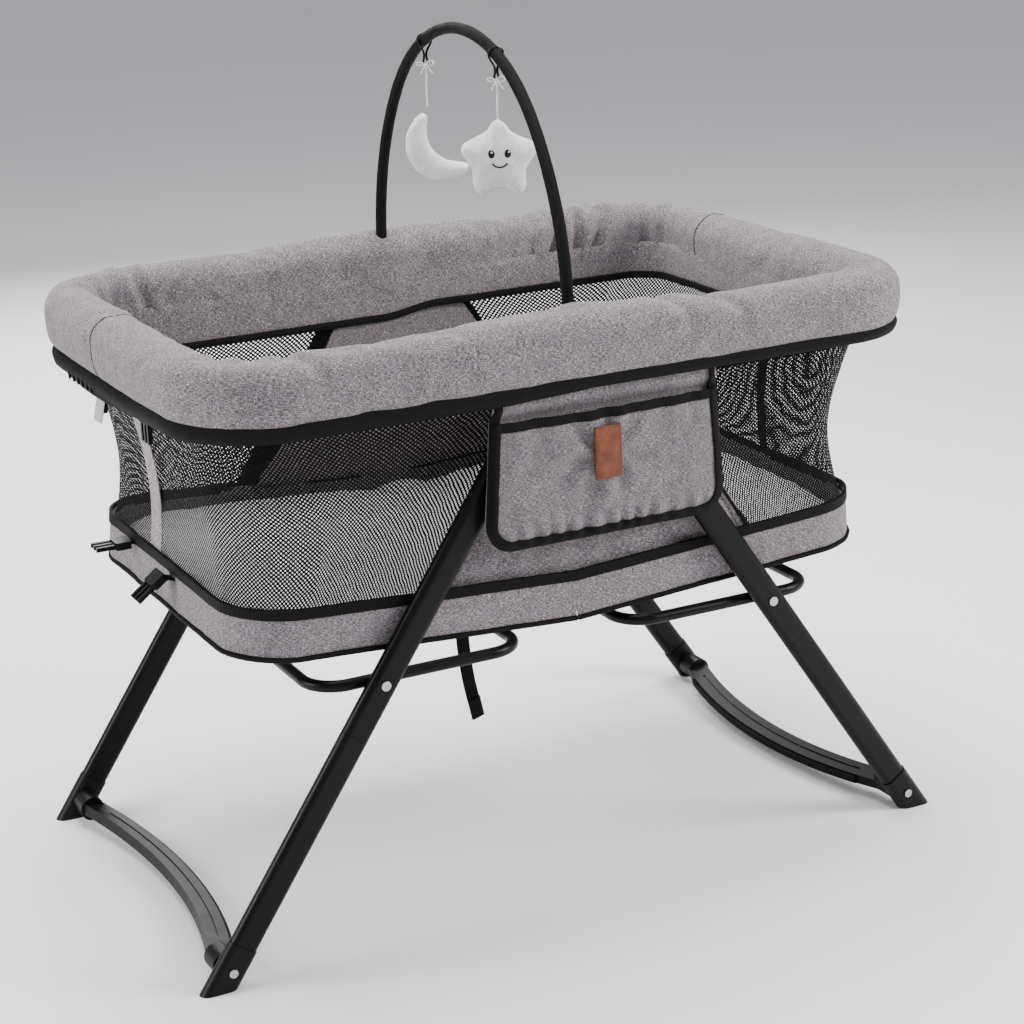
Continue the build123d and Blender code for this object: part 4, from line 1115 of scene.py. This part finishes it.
# The binding runs down one side, along the bottom and up the other
edge_points = []
for z in np.linspace(POCKET_HANG, POCKET_LOW + 0.0002, 90):
    edge_points.append((pocket_sides(z)[0], z))
low_left, low_right = pocket_sides(POCKET_LOW + 0.0002)
for x in np.linspace(low_left, low_right, 60)[1:-1]:
    edge_points.append((x, POCKET_LOW + 0.0002))
for z in np.linspace(POCKET_LOW + 0.0002, POCKET_HANG, 90):
    edge_points.append((pocket_sides(z)[1], z))
edge_points = np.array(edge_points)
along = np.gradient(edge_points, axis=0)
along /= np.linalg.norm(along, axis=1, keepdims=True)
inward = np.stack([-along[:, 1], along[:, 0]], axis=1)
rows = []
for (x, z), (ix, iz) in zip(edge_points, inward):
    row = []
    for s in np.linspace(-0.0010, 0.0105, 7):
        px, pz = x + ix * s, z + iz * s
        inner_x, inner_z = x + ix * 0.0105, z + iz * 0.0105
        if z < POCKET_MOUTH:
            top_y = pocket_face(inner_x, min(inner_z, POCKET_MOUTH))
        else:
            top_y = lining_face(x, z) - 0.002
        rise = min(1.0, (s + 0.001) / 0.006)
        row.append((px, POCKET_BACK - 0.0045 + (top_y - 0.0016 - POCKET_BACK + 0.0045) * rise, pz))
    rows.append(row)
binding = grid("pocket_binding", rows, "band")
thicken(binding, 0.0016)
pocket_fold(binding)

rows = []
for u in np.linspace(0, 1, 90):
    row = []
    for t in np.linspace(0, 1, 5):
        z = POCKET_MOUTH + 0.0006 - 0.0105 * t
        left, right_x = pocket_sides(z)
        x = left + 0.004 + (right_x - left - 0.008) * u
        row.append((x, pocket_face(x, min(z, POCKET_MOUTH)) - 0.0014, z))
    rows.append(row)
hem = grid("pocket_hem", rows, "band", flip=True)
thicken(hem, 0.0016)
pocket_fold(hem)

LABEL = (0.0005, 0.0330, 0.506, 0.565)
LABEL_MID = (0.0167, 0.535)


def label_face(x, z):
    """The label's place out from the wall: it is stiffer than the pocket, so it follows it only in part."""
    return pocket_face(0.3 * x + 0.7 * LABEL_MID[0], 0.4 * z + 0.6 * LABEL_MID[1]) - 0.0052


rows = []
for x in np.linspace(LABEL[0], LABEL[1], 14):
    rows.append([(x, label_face(x, z), z) for z in np.linspace(LABEL[2], LABEL[3], 22)])
label = grid("pocket_label", rows, "leather")
thicken(label, 0.0022)
bevel = label.modifiers.new("edge", "BEVEL")
bevel.width, bevel.segments = 0.0005, 2
apply_all(label)
pocket_fold(label)


def stitches(name, path, out, paint, long=0.0022, gap=0.0014, radius=0.00032):
    """A row of short stitches along a path, joined into one piece."""
    path = np.asarray(path, float)
    run = np.concatenate([[0], np.cumsum(np.linalg.norm(np.diff(path, axis=0), axis=1))])
    verts, faces = [], []
    at = 0.0
    ring = round_profile(radius, 6)
    while at + long < run[-1]:
        a, b = (np.array([np.interp(w, run, path[:, k]) for k in range(3)]) for w in (at, at + long))
        line = (b - a) / np.linalg.norm(b - a)
        o = np.asarray(out, float) - np.dot(out, line) * line
        o /= np.linalg.norm(o)
        side_way = np.cross(line, o)
        start = len(verts)
        for share, lift, grow in ((0, -0.0001, 0.5), (0.2, radius, 1), (0.8, radius, 1), (1, -0.0001, 0.5)):
            c = a + (b - a) * share + o * lift
            verts.extend(c + side_way * s * grow + o * t * grow for s, t in ring)
        n = len(ring)
        for i in range(3):
            for j in range(n):
                k = (j + 1) % n
                here, there = start + i * n, start + (i + 1) * n
                faces.append((here + j, here + k, there + k, there + j))
        faces.append([start + j for j in range(n)][::-1])
        faces.append([start + 3 * n + j for j in range(n)])
        at += long + gap
    return make(name, verts, faces, paint, uv=[(v[0], v[2]) for v in verts])


inset = 0.0022
seam_x = (LABEL[0] + inset, LABEL[1] - inset)
seam_z = (LABEL[2] + inset, LABEL[3] - inset)
corners = [(seam_x[i], seam_z[j]) for i, j in ((0, 0), (1, 0), (1, 1), (0, 1), (0, 0))]
border = []
for (x0, z0), (x1, z1) in zip(corners, corners[1:]):
    for t in np.linspace(0, 1, 20, endpoint=False):
        x, z = x0 + (x1 - x0) * t, z0 + (z1 - z0) * t
        border.append((x, label_face(x, z) - 0.0010, z))
border.append(border[0])
pocket_fold(stitches("label_stitches", border, (0, -1, 0), "stitch"))


# ------------------------------------------------------------------ toy arch
ARCH_FOOT = (0.243, 0.676)
ARCH_TOP = (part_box("arch_sleeve")[1].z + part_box("arch_rod")[1].z) / 2 - 0.0056
SIDE_R = 0.330


ARCH_STEP = 0.004


def arch_line():
    """The arch's centre line in the YZ plane, from its near foot to its far foot."""
    spread, rise = SIDE_R - ARCH_FOOT[0], ARCH_TOP - ARCH_FOOT[1]
    top_r = (SIDE_R**2 - spread**2 - rise**2) / (2 * (SIDE_R - rise))
    turn_over = atan2(rise - top_r, spread)
    line = [(-ARCH_FOOT[0], z) for z in np.linspace(0.668, ARCH_FOOT[1], 3)]
    for a in np.linspace(0, turn_over, int(SIDE_R * turn_over / ARCH_STEP))[1:]:
        line.append((spread - SIDE_R * cos(a), ARCH_FOOT[1] + SIDE_R * sin(a)))
    for a in np.linspace(turn_over, pi / 2, int(top_r * (pi / 2 - turn_over) / ARCH_STEP))[1:]:
        line.append((-top_r * cos(a), ARCH_TOP - top_r + top_r * sin(a)))
    half = np.array([(0, y, z) for y, z in line])
    return np.vstack([half, (half * [1, -1, 1])[::-1][1:]])


arch_points = arch_line()
along = directions(arch_points)
rows = []
for i, (p, d) in enumerate(zip(arch_points, along)):
    o = np.array([0, -d[2], d[1]])
    side_way = np.array([1.0, 0, 0])
    ruck = 1 + 0.03 * wobble(p, 60) + 0.025 * sin(i * 1.9 + 3 * wobble(p, 20)) * abs(wobble(p, 12, 3.0))
    turns = np.linspace(0, 2 * pi, 18, endpoint=False)
    rows.append([p + (side_way * cos(t) + o * sin(t)) * 0.00675 * ruck for t in turns])
sleeve = grid("arch_cover", rows, "sleeve", closed=True, caps=True)
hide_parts("arch_sleeve")
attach(sleeve, "arch")
seam_line = arch_points + np.array([-0.0069, 0, 0])
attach(stitches("arch_seam", seam_line, (-1, 0, 0), "thread", 0.003, 0.002, 0.0003), "arch")


def arch_height(y):
    k = np.argmin(np.abs(arch_points[:, 1] - y))
    return arch_points[k, 2]


def ribbon_loop(name, eye):
    """A black ribbon round the arch that ends in the eye the toy's string hangs from."""
    top = arch_height(eye.y)
    half = [(0, 0, top + 0.0082), (0.0082, 0, top + 0.004), (0.0078, 0, top - 0.004),
            (0.0022, 0, top - 0.0135), (0.0016, 0, eye.z + 0.006), (0.0028, 0, eye.z + 0.001),
            (0, 0, eye.z - 0.0018)]
    line = half + [(-x, y, z) for x, y, z in half[-2::-1]]
    line = smooth_line(np.array(line) + [0, eye.y, 0], 0.0015)
    out = np.gradient(line, axis=0)
    out = np.stack([out[:, 2], np.zeros(len(out)), -out[:, 0]], axis=1)
    loop = tape(name, line, out, 0.005, 0.0009, "web")
    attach(loop, "arch")


ribbon_loop("moon_ribbon", moon_eye)
ribbon_loop("star_ribbon", star_eye)


def bow(name, eye, body, turn_by):
    """The string's small white bow: two flat loops, a knot and two tails."""
    across = Vector((cos(turn_by), sin(turn_by), 0))
    face = np.array([sin(turn_by), -cos(turn_by), 0])
    knot = Vector(eye) + Vector(face) * 0.0026 + Vector((0, 0, -0.0015))
    for k, (end, reach, rise) in enumerate(((-1, 0.0095, 0.0022), (1, 0.0085, 0.0035))):
        line = [knot + across * end * reach * x + Vector((0, 0, rise * z)) for x, z in
                ((0, 0), (0.5, 1.1), (1.0, 1.0), (1.05, 0.1), (0.7, -0.5), (0.3, -0.3), (0, 0))]
        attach(sweep(f"{name}_loop_{k}", smooth_line([tuple(p) for p in line], 0.0008), face,
                      round_profile(0.0008, 8), "string"), body)
    for k, (end, reach) in enumerate(((-1, 0.006), (1, 0.008))):
        line = [knot, knot + across * end * reach * 0.5 + Vector((0, 0, -0.005)),
                knot + across * end * reach + Vector((0, 0, -0.011))]
        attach(sweep(f"{name}_tail_{k}", smooth_line([tuple(p) for p in line], 0.0008), face,
                      round_profile(0.0007, 8), "string"), body)
    bm = bmesh.new()
    bmesh.ops.create_uvsphere(bm, u_segments=16, v_segments=10, radius=0.0019)
    mesh = bpy.data.meshes.new(f"{name}_knot")
    bmesh.ops.translate(bm, verts=bm.verts, vec=knot)
    bm.to_mesh(mesh)
    bm.free()
    mesh.materials.append(M["string"])
    mesh.polygons.foreach_set("use_smooth", [True] * len(mesh.polygons))
    piece = bpy.data.objects.new(f"{name}_knot", mesh)
    bpy.context.scene.collection.objects.link(piece)
    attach(piece, body)


TOY_TURN = radians(-26.75)
bow("moon_bow", moon_eye, "moon_toy", TOY_TURN)
bow("star_bow", star_eye, "star_toy", TOY_TURN)


# ------------------------------------------------------------------ plush toys
def plush_toy(node, name, body, pinned_z):
    toy = copy_node(node, name, "plush", 0.0036)
    co = np.array([v.co for v in toy.data.vertices])
    smooth = toy.modifiers.new("soft", "SMOOTH")
    smooth.iterations, smooth.factor = 12, 0.6
    apply_all(toy)
    pins = (co[:, 2] > pinned_z).astype(float) * 0.5
    puff(toy, pins, pressure=5.0, grow=0.05, cap=0.006, bend=0.3, stiff=10)
    mesh = toy.data
    co = np.array([v.co for v in mesh.vertices])
    normal = np.array([v.normal for v in mesh.vertices])
    lumps = np.array([0.0012 * wobble(p, 70, 2.0) + 0.0005 * wobble(p, 200, 4.0) for p in co])
    mesh.vertices.foreach_set("co", (co + normal * lumps[:, None]).ravel())
    top_uv(toy)
    subdivide(toy)
    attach(toy, body)
    return toy


plush_toy("moon", "plush_moon", "moon_toy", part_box("moon")[1].z - 0.006)
star_toy = plush_toy("star", "plush_star", "star_toy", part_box("star")[1].z - 0.006)

toy_across = Vector((cos(TOY_TURN), sin(TOY_TURN), 0))
toy_front = Vector((sin(TOY_TURN), -cos(TOY_TURN), 0))
star_mid = Vector(tuple(middle("star")))


def on_star(u, v, lift):
    """A point lifted off the star's front, u across and v up from its middle."""
    start = star_mid + toy_across * u + Vector((0, 0, v)) + toy_front * 0.05
    hit, place, normal, _ = star_toy.ray_cast(start, -toy_front)
    if not hit:
        place, normal = start - toy_front * 0.035, toy_front
    return np.array(place) + np.array(normal) * lift


def star_patch(name, u0, v0, half_u, half_v, paint, lift):
    """A small oval sewn on the star's face, domed a little."""
    verts, faces = [on_star(u0, v0, lift + 0.0008)], []
    for ring in range(1, 5):
        share = ring / 4
        for k in range(20):
            a = 2 * pi * k / 20
            u, v = u0 + half_u * share * cos(a), v0 + half_v * share * sin(a)
            verts.append(on_star(u, v, lift + 0.0008 * (1 - share**2)))
    for k in range(20):
        j = (k + 1) % 20
        faces.append((0, 1 + k, 1 + j))
        for ring in range(3):
            a, b = 1 + ring * 20, 1 + (ring + 1) * 20
            faces.append((a + k, b + k, b + j, a + j))
    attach(make(name, verts, faces, paint, uv=[(v[0], v[2]) for v in verts]), "star_toy")


for k, u in enumerate((-0.0085, 0.0095)):
    star_patch(f"star_eye_{k}", u, 0.0045, 0.0036, 0.0046, "thread", 0.0004)
    star_patch(f"star_glint_{k}", u + 0.0010, 0.0062, 0.0009, 0.0011, "string", 0.0014)
smile = [on_star(0.0085 * sin(a) + 0.0005, -0.0035 - 0.0065 * cos(a), 0.0005)
         for a in np.linspace(-1.25, 1.25, 22)]
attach(sweep("star_smile", smile, tuple(toy_front), round_profile(0.0009, 8), "thread"), "star_toy")


# ------------------------------------------------------------------ webbing and labels at the left end
def rim_tab(name, points, normal):
    """A webbing tab under the rim's left end."""
    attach(tape(name, smooth_line(points, 0.003), normal, 0.020, 0.0018, "web"), "rim_left")


for k, y in enumerate((-0.050, 0.105)):
    over = [(-0.436, y, 0.612), (-0.432, y, 0.604), (-0.423, y, 0.598), (-0.4195, y, 0.592)]
    stub = [(-0.4245, y, 0.612), (-0.4248, y, 0.600), (-0.4246, y, 0.588), (-0.4243, y, 0.583)]
    rim_tab(f"upper_web_{k}", over, (-1, 0, 0.3))
    rim_tab(f"upper_web_stub_{k}", stub, (-1, 0, 0))
ladder_route = [(-0.4400, 0.150, 0.600), (-0.4408, 0.080, 0.597), (-0.4404, 0.010, 0.598),
                (-0.4392, -0.060, 0.601)]
ladder_line = smooth_line(ladder_route, 0.004)
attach(tape("ladder_web", ladder_line, (-1, 0, 0), 0.015, 0.0018, "web"), "rim_left")
for k, y in enumerate(np.linspace(0.142, 0.062, 6)):
    rung = [(-0.4424, y, 0.5915), (-0.4430, y, 0.598), (-0.4424, y, 0.6045)]
    rung_line = smooth_line(rung, 0.002)
    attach(tape(f"ladder_rung_{k}", rung_line, (-1, 0, 0), 0.0042, 0.0024, "plastic"), "rim_left")
for k, (x, y, z) in enumerate(((-0.402, -0.035, 0.389), (-0.402, 0.095, 0.395))):
    route = [(x + 0.004, y, z + 0.004), (x - 0.004, y, z + 0.007), (x - 0.014, y, z + 0.006),
             (x - 0.020, y, z + 0.003)]
    line = smooth_line(route, 0.002)
    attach(tape(f"lower_web_{k}", line, (-0.3, 0, 1), 0.020, 0.0018, "web"), "base_left")
tag_rows = []
for u in np.linspace(-1, 1, 12):
    tag_rows.append([(-0.4345 - 0.004 * t + 0.0015 * u * u, 0.052 + 0.014 * u + 0.012 * t, 0.598 - 0.040 * t)
                     for t in np.linspace(0, 1, 16)])
tag = grid("care_tag", tag_rows, "tag")
thicken(tag, 0.0008)
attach(tag, "rim_left")
